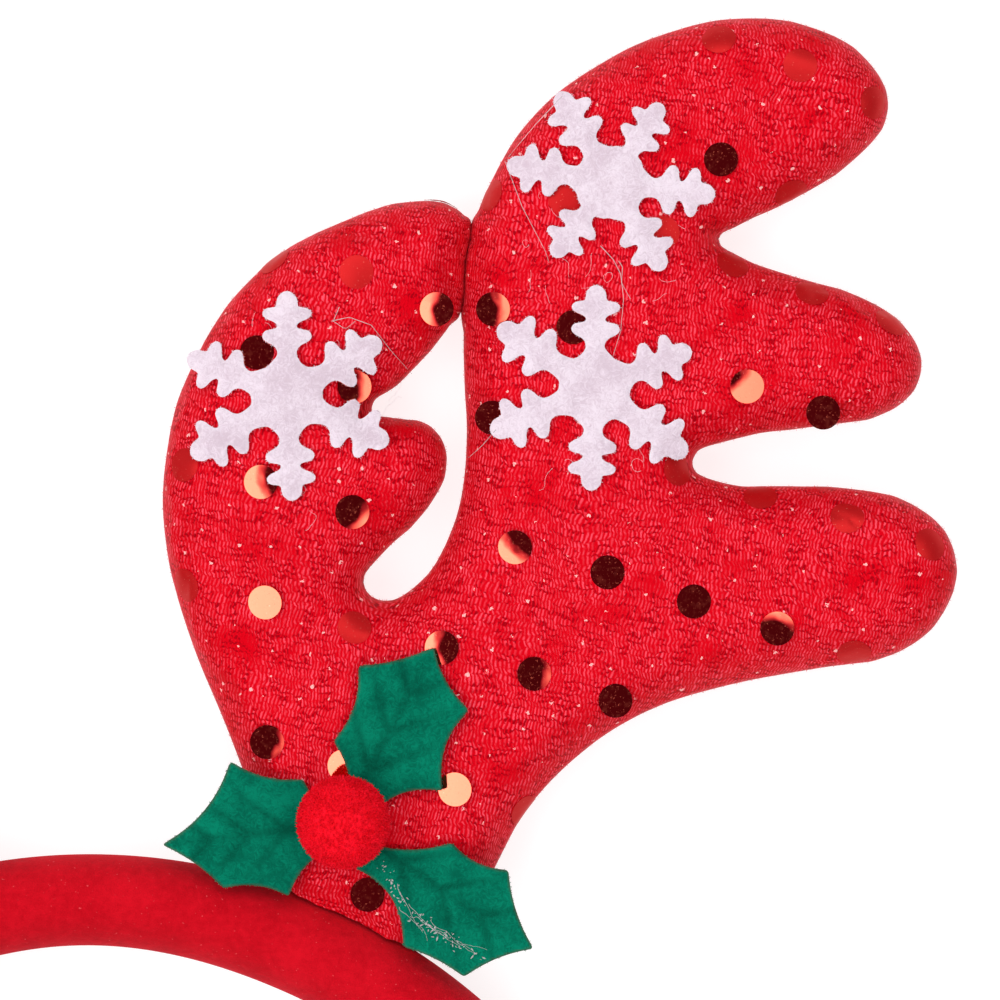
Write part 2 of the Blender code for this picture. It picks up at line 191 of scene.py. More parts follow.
knitLook = {
    "turn": math.radians(14),  # the fabric is cut askew
    "column": 0.45,  # millimetres from stitch to stitch
    "row": 0.86,
    "shade": (0.27, 0.0, 0.004, 1),
    "body": (0.63, 0.0, 0.0065, 1),
    "shine": (1.0, 0.095, 0.145, 1),
    "glitterSpacing": 3.6,
    "glitterSize": (0.05, 0.21),
    # pale colour of the glitter flecks, painted as glints
    "glintingGlitter": (1.0, 0.50, 0.48, 1),
}


def knitMaterial():
    # metallic warp knit: leaning stitches in wavy rows with painted highlights on their ridges, broken dark
    # hooks of painted shade between the rows, and glitter points painted as pale glints
    look = knitLook
    paint = newPaint("red metallic knit")
    fabric = paint.node("ShaderNodeUVMap", {"uv_map": "fabric"})
    flat = paint.vector("SCALE", fabric, 1000.0)
    askew = paint.node("ShaderNodeMapping", {"vector_type": "TEXTURE"},
                       {"Vector": flat, "Rotation": (0, 0, -look["turn"])})
    drift = paint.parts(paint.noise(askew, 0.10, 1, out=1, flat=True))
    jitter = paint.parts(paint.noise(askew, 1.1, 2, out=1, flat=True))
    across, up, _ = paint.parts(askew)
    across = across + 2.4 * (drift[0] - 0.5) + 0.30 * (jitter[0] - 0.5)
    up = up + 3.4 * (drift[1] - 0.5) + 1.5 * (jitter[1] - 0.5)

    rowCount = up / look["row"]
    row = paint.maths("FLOOR", rowCount)
    alongRow = paint.maths("FRACT", rowCount)
    odd = paint.maths("FRACT", row * 0.5) * 2
    lean = (0.75 - 0.85 * odd) * (alongRow - 0.5)
    offset = paint.node("ShaderNodeTexWhiteNoise", {"noise_dimensions": "1D"}, {"W": row})
    columnCount = across / look["column"] + offset + lean
    cell = paint.node("ShaderNodeCombineXYZ", None, {0: paint.maths("FLOOR", columnCount), 1: row})
    chance = paint.node("ShaderNodeTexWhiteNoise", {"noise_dimensions": "2D"}, {"Vector": cell})
    side = (paint.maths("FRACT", columnCount) - 0.5) * 2
    end = paint.maths("ABSOLUTE", (alongRow - 0.5) * 2)
    ridge = paint.limited(1 - paint.maths("ABSOLUTE", side), 0.25, 1.0)
    ends = paint.limited(end, 0.40, 0.95)
    loose = paint.limited(paint.noise(askew, 0.50, 3, flat=True), 0.44, 0.56)
    yarn = ridge * (1 - ends * (0.70 + 0.3 * loose))
    foot = side * (1 - 2 * odd) + 0.8 * (chance - 0.5)  # the hooks of one row open left, of the next right
    hook = paint.limited(end, 0.35, 0.80) * paint.limited(foot, -0.50, 0.20) * loose
    broad = paint.noise(askew, 0.16, 3, flat=True)
    fuzz = paint.noise(flat, 3.5, 2, flat=True)

    shifts = paint.vector("SCALE", paint.noise(flat, 3.0, 1, out=1, flat=True), 0.55)
    points = paint.node("ShaderNodeTexVoronoi", {"voronoi_dimensions": "2D"},
                        {"Vector": paint.vector("ADD", flat, shifts), "Scale": 1 / look["glitterSpacing"]})
    pick = paint.parts(Wire(paint, points.output.node.outputs[1]))[0]
    smallest, largest = (size / look["glitterSpacing"] for size in look["glitterSize"])
    glintingGlitter = (points < smallest + (largest - smallest) * pick) * (pick > 0.2)

    # painted highlight: the ridges of the stitches take the shine colour, brighter at random
    lit = yarn * (0.25 + 0.75 * chance) * paint.limited(broad + 0.25 * (fuzz - 0.5), 0.18, 0.52)
    colour = paint.mixed(lit, look["body"], look["shine"])
    # painted shade: the hooks between the rows are darkened with the shade colour
    colour = paint.mixed(hook * 0.85, colour, look["shade"])
    # glitter flecks, partly their own colour and partly a painted glint
    colour = paint.mixed(glintingGlitter * 0.9, colour, look["glintingGlitter"])
    relief = yarn + 0.25 * fuzz
    return paint.surface({
        "Base Color": colour, "Metallic": 0.15, "Roughness": 0.48 + 0.2 * fuzz,
        "Specular IOR Level": 0.25, "Specular Tint": (1.0, 0.08, 0.13, 1), "Sheen Weight": 0.06,
        "Sheen Roughness": 0.4, "Sheen Tint": (1.0, 0.25, 0.32, 1),
        "Normal": paint.bump(relief, 0.00008, 0.5),
    })


def velvetMaterial():
    # short flock, a little streaked where it has been stroked
    paint = newPaint("red velvet")
    place = paint.millimetres()
    stroked = paint.noise(place, 0.13, 3)
    clumps = paint.noise(place, 1.1, 3)
    pile = paint.noise(place, 6.0, 2)
    shade = paint.limited(0.45 * stroked + 0.35 * clumps + 0.2 * pile, 0.33, 0.66)
    colour = paint.mixed(shade, (0.46, 0.0005, 0.007, 1), (0.62, 0.003, 0.013, 1))
    specks = paint.limited(paint.noise(place, 2.6, 1), 0.72, 0.80)
    colour = paint.mixed(specks * 0.35, colour, (0.9, 0.16, 0.18, 1))
    return paint.surface({
        "Base Color": colour, "Roughness": 0.92, "Specular IOR Level": 0.08, "Sheen Weight": 0.16,
        "Sheen Roughness": 0.55, "Sheen Tint": (1.0, 0.15, 0.2, 1),
        "Normal": paint.bump(clumps + 0.6 * pile, 0.00016, 0.55),
    })


def feltMaterial(name, dark, light, edge):
    # matted fibres, with painted shade in the pressed creases and a cut edge painted with the light it
    # catches
    paint = newPaint(name)
    place = paint.millimetres()
    warp = paint.vector("SCALE", paint.noise(place, 0.9, 1, out=1), 2.2)
    matted = paint.vector("ADD", place, warp)
    stretched = paint.node("ShaderNodeMapping", None, {"Vector": matted, "Scale": (1.0, 3.2, 1.0)})
    crossed = paint.node("ShaderNodeMapping", None, {"Vector": matted, "Scale": (3.2, 1.0, 1.0)})
    fibres = 0.5 * paint.noise(stretched, 1.6, 3) + 0.5 * paint.noise(crossed, 1.6, 3)
    patches = paint.noise(place, 0.28, 2)
    colour = paint.mixed(paint.limited(0.65 * fibres + 0.35 * patches, 0.38, 0.62), dark, light)
    crease = paint.node("ShaderNodeAttribute", {"attribute_name": "crease"}, None, out=2)
    rim = paint.node("ShaderNodeAttribute", {"attribute_name": "rim"}, None, out=2)
    # painted shade: the pressed creases are darkened
    colour = paint.mixed(0.55 * crease, colour, tuple(0.4 * part for part in dark[:3]) + (1,))
    # painted light: the cut edge takes the edge colour, lighter on white felt and brownish on green felt from
    # the red fabric's bounce light
    colour = paint.mixed(0.6 * rim, colour, edge)
    return paint.surface({
        "Base Color": colour, "Roughness": 0.95, "Specular IOR Level": 0.05, "Sheen Weight": 0.04,
        "Sheen Roughness": 0.6, "Sheen Tint": light,
        "Normal": paint.bump(fibres + 0.3 * patches, 0.00022, 0.6),
    })


def glowingPileMaterial(name, dark, light):
    # loose fibres, each tuft its own tone, with a faint painted glow in their own colour that lifts their
    # shadows
    paint = newPaint(name)
    place = paint.millimetres()
    shade = paint.limited(0.5 * paint.noise(place, 0.8, 2) + 0.5 * paint.noise(place, 7.0, 1), 0.36, 0.64)
    colour = paint.mixed(shade, dark, light)
    return paint.surface({
        "Base Color": colour, "Roughness": 0.8, "Specular IOR Level": 0.1, "Sheen Weight": 0.3,
        # painted light: the fibres glow faintly in their own colour
        "Sheen Roughness": 0.5, "Sheen Tint": light, "Emission Color": colour, "Emission Strength": 0.05,
    })


def foilMaterial(name, base, roughness, metallic):
    # mirror foil with fine scuffs and a slightly dented face
    paint = newPaint(name)
    place = paint.millimetres()
    scratched = paint.node("ShaderNodeMapping", None,
                           {"Vector": place, "Rotation": (0, 0, 0.6), "Scale": (0.6, 7.0, 1.0)})
    scuffs = paint.limited(paint.noise(scratched, 1.6, 3), 0.62, 0.74)
    blotches = paint.limited(paint.noise(place, 1.5, 3), 0.50, 0.72)
    points = paint.limited(paint.noise(place, 4.5, 1), 0.66, 0.71)
    specks = paint.limited(paint.noise(place, 6.0, 1), 0.72, 0.78)
    colour = paint.mixed(0.30 * specks, base, (1.0, 0.55, 0.42, 1))
    return paint.surface({
        "Base Color": colour, "Metallic": metallic - 0.05 * blotches - 0.26 * points,
        "Roughness": roughness + 0.05 * scuffs + 0.12 * specks, "Specular Tint": (1.0, 0.3, 0.25, 1),
        "Normal": paint.bump(paint.noise(place, 0.45, 1), 0.00008, 0.35),
    })


def glueMaterial():
    # hot glue drawn out into threads
    paint = newPaint("drawn glue")
    place = paint.millimetres()
    colour = paint.mixed(paint.noise(place, 1.4, 2), (0.70, 0.60, 0.62, 1), (0.92, 0.88, 0.90, 1))
    return paint.surface({"Base Color": colour, "Roughness": 0.30, "Alpha": 0.50, "Specular IOR Level": 0.6})


def floorMaterial():
    paint = newPaint("studio paper")
    soft = paint.noise(paint.millimetres(), 0.004, 1)
    colour = paint.mixed(soft, (0.30, 0.30, 0.30, 1), (0.32, 0.32, 0.32, 1))
    return paint.surface({"Base Color": colour, "Roughness": 0.9, "Specular IOR Level": 0.0,
                          "Emission Color": (1, 1, 1, 1), "Emission Strength": 0.80})


knit = knitMaterial()
velvet = velvetMaterial()
# the last colour of each felt is the painted light on its cut edge
whiteFelt = feltMaterial("white felt", (0.62, 0.50, 0.58, 1), (0.80, 0.70, 0.78, 1), (0.80, 0.70, 0.77, 1))
greenFelt = feltMaterial("green felt", (0.0, 0.105, 0.062, 1), (0.001, 0.205, 0.120, 1),
                         (0.09, 0.085, 0.045, 1))
redPile = glowingPileMaterial("pompom pile", (0.74, 0.002, 0.011, 1), (0.91, 0.006, 0.025, 1))
whiteLint = glowingPileMaterial("white lint", (0.66, 0.60, 0.67, 1), (0.82, 0.76, 0.83, 1))
redLint = glowingPileMaterial("red lint", (0.65, 0.02, 0.04, 1), (0.95, 0.25, 0.28, 1))
greenLint = glowingPileMaterial("green lint", (0.01, 0.16, 0.10, 1), (0.05, 0.32, 0.21, 1))
mirrorFoil = foilMaterial("mirror foil", (0.90, 0.17, 0.100, 1), 0.03, 1.0)
dullFoil = foilMaterial("dull foil", (0.52, 0.008, 0.011, 1), 0.38, 0.42)
glue = glueMaterial()
print("materials made")


# Meshes

def newPiece(name, mesh, material, sharp=None):
    piece = bpy.data.objects.new(name, mesh)
    bpy.context.scene.collection.objects.link(piece)
    mesh.materials.clear()
    mesh.materials.append(material)
    mesh.shade_smooth()
    if sharp:
        mesh.set_sharp_from_angle(angle=sharp)
    return piece


def meshOf(form, name):
    mesh = bpy.data.meshes.new(name)
    form.to_mesh(mesh)
    form.free()
    return mesh


def mirroredMesh(mesh, name):
    # the same mesh on the other side, with its faces turned outwards again
    other = mesh.copy()
    other.name = name
    other.transform(Matrix.Scale(-1, 4, (1, 0, 0)))
    other.flip_normals()
    return other


def bothSides(name, mesh, material, replaced=None, sharp=None):
    # the right piece and its mirror image, riding on the one body
    made = []
    for side in ("right", "left"):
        sideName = f"{name}_{side}"
        sideMesh = mesh if side == "right" else mirroredMesh(mesh, sideName)
        piece = newPiece(sideName, sideMesh, material, sharp)
        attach(piece, "root")
        if replaced:
            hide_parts(f"{replaced}_{side}")
        made.append(piece)
    return made


def subdivided(name, form, levels):
    # the mesh of a form under a subdivision surface
    rough = bpy.data.objects.new("rough", meshOf(form, "rough"))
    bpy.context.scene.collection.objects.link(rough)
    finer = rough.modifiers.new("finer", "SUBSURF")
    finer.levels = finer.render_levels = levels
    graph = bpy.context.evaluated_depsgraph_get()
    mesh = bpy.data.meshes.new_from_object(rough.evaluated_get(graph))
    bpy.data.objects.remove(rough)
    mesh.name = name
    return mesh


def mergedCopy(node):
    form = bmesh.new()
    form.from_mesh(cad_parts[node].data)
    bmesh.ops.remove_doubles(form, verts=form.verts, dist=mergeGap)
    return form


def treeOf(mesh):
    form = bmesh.new()
    form.from_mesh(mesh)
    tree = BVHTree.FromBMesh(form)
    form.free()
    return tree


def straightDown(tree, x, y):
    # where a look from above first meets the mesh, and which way it faces there
    return tree.ray_cast(Vector((x, y, skyHeight)), Vector((0, 0, -1)))[:2]


def chainThrough(edges):
    # the vertices of an open or closed run of edges, in order
    beside = {}
    for edge in edges:
        first, second = edge.verts
        beside.setdefault(first, []).append(second)
        beside.setdefault(second, []).append(first)
    ends = [vert for vert, others in beside.items() if len(others) == 1]
    chain = [ends[0] if ends else next(iter(beside))]
    seen = {chain[0]}
    while True:
        onward = [vert for vert in beside[chain[-1]] if vert not in seen]
        if not onward:
            return chain
        chain.append(onward[0])
        seen.add(onward[0])


def closedCurve(points, steps):
    # a smooth closed curve through the points
    before, after, beyond = np.roll(points, 1, 0), np.roll(points, -1, 0), np.roll(points, -2, 0)
    share = (np.arange(steps) / steps)[:, None, None]
    bend = 2 * before - 5 * points + 4 * after - beyond
    twist = 3 * points - before - 3 * after + beyond
    curve = 0.5 * (2 * points + (after - before) * share + bend * share**2 + twist * share**3)
    return curve.transpose(1, 0, 2).reshape(-1, 2)


def evened(points, spacing, closed=True):
    # the same line with its points a spacing apart
    line = np.vstack((points, points[:1])) if closed else points
    run = np.concatenate(((0,), np.cumsum(np.linalg.norm(np.diff(line, axis=0), axis=1))))
    count = max(3, round(run[-1] / spacing))
    places = np.linspace(0, run[-1], count + 1)[:-1] if closed else np.linspace(0, run[-1], count)
    return np.column_stack([np.interp(places, run, line[:, axis]) for axis in range(line.shape[1])])


class Outline:
    # a closed line in the plane that tells how far any place is from it
    def __init__(self, points):
        self.points = points
        along = np.roll(points, -1, 0) - np.roll(points, 1, 0)
        along /= np.linalg.norm(along, axis=1)[:, None]
        nextPoint = np.roll(points, -1, 0)
        self.area = 0.5 * np.sum(points[:, 0] * nextPoint[:, 1] - nextPoint[:, 0] * points[:, 1])
        self.inward = np.column_stack((-along[:, 1], along[:, 0])) * np.sign(self.area)
        self.spacing = np.linalg.norm(nextPoint - points, axis=1).max()
        self.tree = KDTree(len(points))
        for index, point in enumerate(points):
            self.tree.insert((point[0], point[1], 0), index)
        self.tree.balance()

    def measure(self, places):
        # distance inside the outline (negative outside), nearest point and inward direction
        found = [self.tree.find((place[0], place[1], 0)) for place in places]
        index = np.array([hit[1] for hit in found])
        straight = np.array([hit[2] for hit in found])
        nearest, inward = self.points[index], self.inward[index]
        across = np.sum((places - nearest) * inward, axis=1)
        distance = np.where(straight < 3 * self.spacing, across, straight * np.sign(across))
        return distance, nearest, inward


def verticesOf(mesh):
    places = np.empty(len(mesh.vertices) * 3)
    mesh.vertices.foreach_get("co", places)
    return places.reshape(-1, 3)


def joinedCopies(name, template, places):
    # one mesh of many copies of a small one, each under its own 4 by 4 matrix
    template.calc_loop_triangles()
    corners = verticesOf(template)
    triangles = np.empty(len(template.loop_triangles) * 3, np.int32)
    template.loop_triangles.foreach_get("vertices", triangles)
    triangles = triangles.reshape(-1, 3)
    whole = np.column_stack((corners, np.ones(len(corners))))
    spread = np.einsum("nij,vj->nvi", np.array(places), whole)[:, :, :3].reshape(-1, 3)
    faces = (triangles[None] + np.arange(len(places))[:, None, None] * len(corners)).reshape(-1, 3)
    mesh = bpy.data.meshes.new(name)
    mesh.from_pydata(spread.tolist(), [], faces.tolist())
    return mesh


hair = {
    "elbow": 0.5,  # where it bends, and its width there and at the tip, as shares of the whole
    "elbowWidth": 0.7,
    "tipWidth": 0.15,
}


def fibreTemplate(radius, bend):
    # a thin three-sided hair one unit long, bent over and pointed
    form = bmesh.new()
    bmesh.ops.create_cone(form, segments=3, radius1=radius, radius2=radius * hair["elbowWidth"],
                          depth=hair["elbow"])
    bmesh.ops.translate(form, verts=form.verts, vec=(0, 0, hair["elbow"] / 2))
    top = max(form.faces, key=lambda face: face.calc_center_median().z)
    made = bmesh.ops.extrude_discrete_faces(form, faces=[top])["faces"]
    tip = [vert for face in made for vert in face.verts]
    bmesh.ops.scale(form, verts=tip, vec=(hair["tipWidth"], hair["tipWidth"], 1))
    bmesh.ops.translate(form, verts=tip, vec=(bend, 0, 1 - hair["elbow"]))
    return meshOf(form, "fibre")


def standing(place, direction, length, chance):
    # the matrix of a fibre that stands on a place, turned at random
    upright = Vector(direction).to_track_quat("Z", "Y").to_matrix().to_4x4()
    spin = Matrix.Rotation(chance.uniform(*anyTurn), 4, "Z")
    return Matrix.Translation(place) @ upright @ spin @ Matrix.Scale(length, 4)


def strandMesh(name, paths, radius):
    # round strands along lists of places, each drawn out to half its width
    curve = bpy.data.curves.new(name, "CURVE")
    curve.dimensions = "3D"
    curve.bevel_depth = radius
    curve.bevel_resolution = 0
    curve.use_fill_caps = True
    for path in paths:
        spline = curve.splines.new("POLY")
        spline.points.add(len(path) - 1)
        for index, (point, place) in enumerate(zip(spline.points, path)):
            point.co = (*place, 1)
            point.radius = 1 - 0.5 * index / len(path)
    guide = bpy.data.objects.new(name, curve)
    bpy.context.scene.collection.objects.link(guide)
    graph = bpy.context.evaluated_depsgraph_get()
    mesh = bpy.data.meshes.new_from_object(guide.evaluated_get(graph))
    bpy.data.objects.remove(guide)
    return mesh


# Antlers

antler = {
    "roll": 0.0050,  # width of the rounded edge, as in the frame
    "rise": 0.0012,
    "run": 0.0120,
    "footDepth": 0.0020,  # how far the foot goes on into the band
    "bandGap": 0.0003,
    "bandReach": 0.004,
    "seatReach": 0.002,
    "outlineSpacing": 0.00012,
    "outlineSteps": 12,  # between two points of the frame's outline
    "footPoints": 12,
    "cuts": 2,
    "flatness": 0.00002,
    "slit": (0.0010, 0.0015),  # edges nearer than this press together
    "slitLeft": 0.00005,
    "slitReach": 0.0016,  # how far into the padding the pressing goes, and how far the edges overlap
    "slitOverlap": 0.00020,
    "profileSteps": 400,
    "backFabric": 0.3,  # where the back's piece of knit lies on the flat cloth
}
padding = {
    "enlarged": 20,
    "pressure": 3,
    "slack": 0.02,  # share by which the knit is cut larger than the stuffing
    "bending": 0.8,
    "quality": 4,
    "frames": 20,
    "cap": 0.00022,
    "heldWidth": 0.0007,
    "seatSearch": 0.003,
    "heldSeat": 0.002,
}


def paddedHeight(distance):
    # height of the padding above the sewn edge
    rolled = np.clip(distance / antler["roll"], 0, 1)
    risen = np.clip(distance / antler["run"], 0, 1)
    edge = (halfThick - antler["rise"]) * np.sqrt(1 - (1 - rolled) ** 2)
    return edge + antler["rise"] * np.sin(risen * np.pi / 2)


def pressedTogether(points):
    # the curl's tip leans on the main branch, so where two edges face each other closely they close up
    tree = KDTree(len(points))
    for index, point in enumerate(points):
        tree.insert((*point, 0), index)
    tree.balance()
    near, far = antler["slit"]
    apart = 4 * far / antler["outlineSpacing"]  # points along the outline
    moved = points.copy()
    pressing = np.zeros(len(points))
    for index, point in enumerate(points):
        facing = [(distance, other) for _, other, distance in tree.find_range((*point, 0), far)
                  if min(abs(other - index), len(points) - abs(other - index)) > apart]
        if facing:
            distance, other = min(facing)
            pressing[index] = min(1.0, (far - distance) / (far - near))
            share = pressing[index] * max(0, 0.5 - 0.5 * antler["slitLeft"] / distance)
            moved[index] += (points[other] - point) * share
    return moved, pressing


def antlerOutline(form):
    # the sewn edge, closed across the foot inside the band
    ring = [edge for edge in form.edges
            if all(abs(vert.co.z - midHeight) < antler["flatness"] for vert in edge.verts)
            and max(math.hypot(vert.co.x - hoopMiddle[0], vert.co.y - hoopMiddle[1])
                    for vert in edge.verts) > hoopRadius + 2 * antler["bandGap"]]
    chain = np.array([vert.co.xy for vert in chainThrough(ring)])
    footRadius = hoopRadius - antler["footDepth"]

    def intoBand(end, inner):
        # carries the side of the stem straight on into the band
        onward = (end - inner) / np.linalg.norm(end - inner)
        reach = np.linalg.norm(end - hoopMiddle) - footRadius
        return [end + onward * reach * share for share in (0.5, 1.0)]

    start = intoBand(chain[0], chain[3])
    finish = intoBand(chain[-1], chain[-4])
    angles = [math.atan2(*(point - hoopMiddle)[::-1]) for point in (finish[-1], start[-1])]
    foot = [hoopMiddle + footRadius * np.array((math.cos(angle), math.sin(angle)))
            for angle in np.linspace(*angles, antler["footPoints"])[1:-1]]
    loop = closedCurve(np.array([*chain, *finish, *foot, *reversed(start)]), antler["outlineSteps"])
    points, pressing = pressedTogether(evened(loop, antler["outlineSpacing"]))
    outline = Outline(points)
    outline.pressing = pressing
    return outline


antlerForm = mergedCopy("antler_right")
antlerEdge = antlerOutline(antlerForm)
print("antler outline:", len(antlerEdge.points), "points")
bandTree = treeOf(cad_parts["headband"].data)


def clearOfBand(places):
    # moves places that have come too near the band back to its gap
    for index, place in enumerate(places):
        near, normal, _, distance = bandTree.find_nearest(place, antler["bandReach"])
        if near is None:
            continue
        outside = (Vector(place) - near).dot(normal) > 0
        if distance < antler["bandGap"] or not outside:
            places[index] = near + normal * antler["bandGap"]
    return places


def bandDistance(place, reach):
    # one metre where the band is further than the reach
    return bandTree.find_nearest(place, reach)[3] or 1


def shapedAntler(form):
    # every vertex goes to its height over the padding, and those on the sewn edge to the smooth outline
    bmesh.ops.subdivide_edges(form, edges=form.edges, cuts=antler["cuts"], use_grid_fill=True)
    places = np.array([vert.co for vert in form.verts])
    distance, nearest, _ = antlerEdge.measure(places[:, :2])
    nearBand = np.array([bandDistance(place, antler["seatReach"]) for place in places])
    seated = nearBand < 1.5 * antler["bandGap"]
    sewn = (np.abs(places[:, 2] - midHeight) < antler["flatness"]) & ~seated
    side = np.sign(places[:, 2] - midHeight)
    height = np.where(sewn, 0, paddedHeight(np.maximum(distance, 0)))
    places[:, 2] = np.where(seated, places[:, 2], midHeight + side * height)
    places[sewn, :2] = nearest[sewn]
    for vert, place in zip(form.verts, clearOfBand(places)):
        vert.co = place
    return form


def swollen(form):
    # the stuffing presses the knit outwards: cloth under pressure, sewn fast round its edge and at its seat.
    # the copy is enlarged for the solver, and no point moves further than the cap
    rest = np.array([vert.co for vert in form.verts])
    distance, _, _ = antlerEdge.measure(rest[:, :2])
    seated = np.array([bandDistance(place, padding["seatSearch"]) < padding["heldSeat"] for place in rest])
    held = np.clip(1 - distance / padding["heldWidth"], 0, 1)
    held[seated] = 1
    trial = bpy.data.meshes.new("padding")
    form.to_mesh(trial)
    trial.transform(Matrix.Scale(padding["enlarged"], 4))
    pad = bpy.data.objects.new("padding", trial)
    bpy.context.scene.collection.objects.link(pad)
    group = pad.vertex_groups.new(name="held")
    for index, weight in enumerate(held):
        group.add([index], float(weight), "REPLACE")
    cloth = pad.modifiers.new("cloth", "CLOTH")
    cloth.settings.quality = padding["quality"]
    cloth.settings.use_pressure = True
    cloth.settings.uniform_pressure_force = padding["pressure"]
    cloth.settings.vertex_group_mass = "held"
    cloth.settings.effector_weights.gravity = 0
    cloth.settings.bending_stiffness = padding["bending"]
    cloth.settings.shrink_min = -padding["slack"]
    cloth.point_cache.frame_start, cloth.point_cache.frame_end = 1, padding["frames"]
    for step in range(1, padding["frames"] + 1):
        bpy.context.scene.frame_set(step)
    graph = bpy.context.evaluated_depsgraph_get()
    settled = pad.evaluated_get(graph).to_mesh()
    moved = verticesOf(settled) / padding["enlarged"] - rest
    bpy.data.objects.remove(pad)
    bpy.context.scene.frame_set(1)
    far = np.linalg.norm(moved, axis=1)
    moved *= (np.minimum(far, padding["cap"]) / np.maximum(far, 1e-9))[:, None]
    print("padding moved: mean", round(1000 * far.mean(), 3), "mm, most", round(1000 * far.max(), 3), "mm")
    places = rest + moved * (1 - held)[:, None]
    places[:, 2] = np.maximum(places[:, 2], rest[:, 2].min())  # it lies on the floor
    for vert, place in zip(form.verts, clearOfBand(places)):
        vert.co = place
    return form


def leanedTogether(form):
    # the pressed edges meet, with a little over for what the smoothing takes off them
    for vert in form.verts:
        _, index, straight = antlerEdge.tree.find((vert.co.x, vert.co.y, 0))
        push = antlerEdge.pressing[index] * max(0, 1 - straight / antler["slitReach"]) * antler["slitOverlap"]
        vert.co.xy = vert.co.xy - Vector(antlerEdge.inward[index]) * push
    return form


def laidFabric(form):
    # a map of the cloth laid flat: seen from the front, the stitches draw together over the rounded edge
    steps = np.linspace(0, antler["roll"], antler["profileSteps"])
    heights = paddedHeight(steps)
    length = np.concatenate(((0,), np.cumsum(np.hypot(np.diff(steps), np.diff(heights)))))
    places = np.array([vert.co for vert in form.verts])
    distance, _, inward = antlerEdge.measure(places[:, :2])
    within = np.clip(distance, 0, antler["roll"])
    rolled = (antler["roll"] - within) - (length[-1] - np.interp(within, steps, length))
    flat = places[:, :2] + inward * rolled[:, None]
    form.verts.index_update()
    layer = form.loops.layers.uv.new("fabric")
    for face in form.faces:
        back = face.calc_center_median().z < midHeight
        for loop in face.loops:
            x, y = flat[loop.vert.index]
            loop[layer].uv = (antler["backFabric"] - x, y) if back else (x, y)


def makeAntlers():
    form = leanedTogether(swollen(shapedAntler(antlerForm)))
    laidFabric(form)
    mesh = subdivided("knit_antler_right", form, 1)
    for piece in bothSides("knit_antler", mesh, knit, "antler"):
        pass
    return mesh


antlerMesh = makeAntlers()
antlerTree = treeOf(antlerMesh)
print("antlers:", len(antlerMesh.polygons), "faces each")


def frontOf(tree, x, y, fallback):
    # the front surface straight under a place, and its direction
    place, normal = straightDown(tree, x, y)
    return (place, normal) if place else (Vector((x, y, fallback)), Vector((0, 0, 1)))


# Headband

def makeHeadband():
    form = mergedCopy("headband")
    bmesh.ops.join_triangles(form, faces=form.faces, angle_face_threshold=math.radians(12),
                             angle_shape_threshold=math.radians(60))
    mesh = subdivided("velvet_headband", form, 2)
    piece = newPiece("velvet_headband", mesh, velvet)
    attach(piece, "root")
    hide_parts("headband")
    return mesh


headbandMesh = makeHeadband()
print("headband:", len(headbandMesh.polygons), "faces")


# Felt leaves and snowflakes

felt = {
    "thickness": 0.0010,
    "rim": 0.00022,  # width of the softened cut edge
    "rimDrop": 0.8,  # how far the edge is rounded down, as a share of the rim
    "outlineSpacing": 0.00024,
    "gap": 0.0003,
    "sharp": math.radians(60),
    "facingDown": -0.3,
}
flakes = {
    "droop": 0.0015,
    "radius": 0.0123,
    "gridSpacing": 0.0006,
    # column and row in the photograph, and each arm's direction in degrees and its length in radii
    "curl": ((288, 397), ((90, 1.00), (31, 1.04), (-25, 1.06), (-87, 0.99), (-148, 1.07), (-202, 1.02))),
    "middle": ((594, 389), ((89, 0.98), (22, 0.99), (-36, 1.08), (-92, 0.97), (-157, 1.07), (-213, 1.09))),
    "top": ((610, 184), ((120, 0.99), (57, 0.89), (-7, 1.00), (-59, 0.97), (-128, 0.89), (-190, 1.00))),
    # one side of an arm out to its tip, in shares of the radius along the arm and across it
    "neck": ((0.392, 0.094), (0.450, 0.100)),
    "innerLobe": ((0.488, 0.134), (0.512, 0.182), (0.545, 0.225), (0.583, 0.234), (0.622, 0.210),
                  (0.636, 0.163)),
    "waist": ((0.646, 0.115), (0.665, 0.092), (0.694, 0.105)),
    "outerLobe": ((0.718, 0.144), (0.737, 0.191), (0.770, 0.230), (0.809, 0.230), (0.837, 0.196),
                  (0.847, 0.148)),
    "tipLobe": ((0.856, 0.110), (0.890, 0.100), (0.938, 0.092), (0.976, 0.063), (1.000, 0.024)),
    "notch": ((-8, 0.352), (0, 0.340), (8, 0.352)),  # degrees from the middle between two arms, and radii out
    "softness": 0.0004,  # over what height the droop sets in
}
leaves = {
    "corner": math.radians(38),  # a sharper turn of the outline is a spike
    "softening": 3,
    "gridSpacing": 0.0003,
    "veinWidth": 0.00050,
    "veinDepth": 0.00034,
    "sideVeins": (0.30, 0.52, 0.74),  # shares along the middle vein
    "veinAngle": math.radians(42),
    "billow": 0.00020,  # how far the felt rises unevenly, and over what distance
    "billowSize": 0.0032,
    "evening": 0.0009,  # radius of the ring of places whose heights are averaged
    "eveningPlaces": 8,
    "middleVein": (0.20, 0.93),  # from where to where, as shares of the way to the tip
    "sideReach": (0.42, 0.25),  # length of a side vein at the pompom, and how much less at the tip
    "veinFade": 0.55,
}


def cutLoop(node):
    # the outline that a felt node was cut to, from the CAD: the rim of its underside
    form = mergedCopy(node)
    form.normal_update()
    under = {face for face in form.faces if face.normal.z < felt["facingDown"]}
    rim = [edge for edge in form.edges if sum(face in under for face in edge.link_faces) == 1]
    loop = np.array([vert.co.xy for vert in chainThrough(rim)])
    form.free()
    return loop


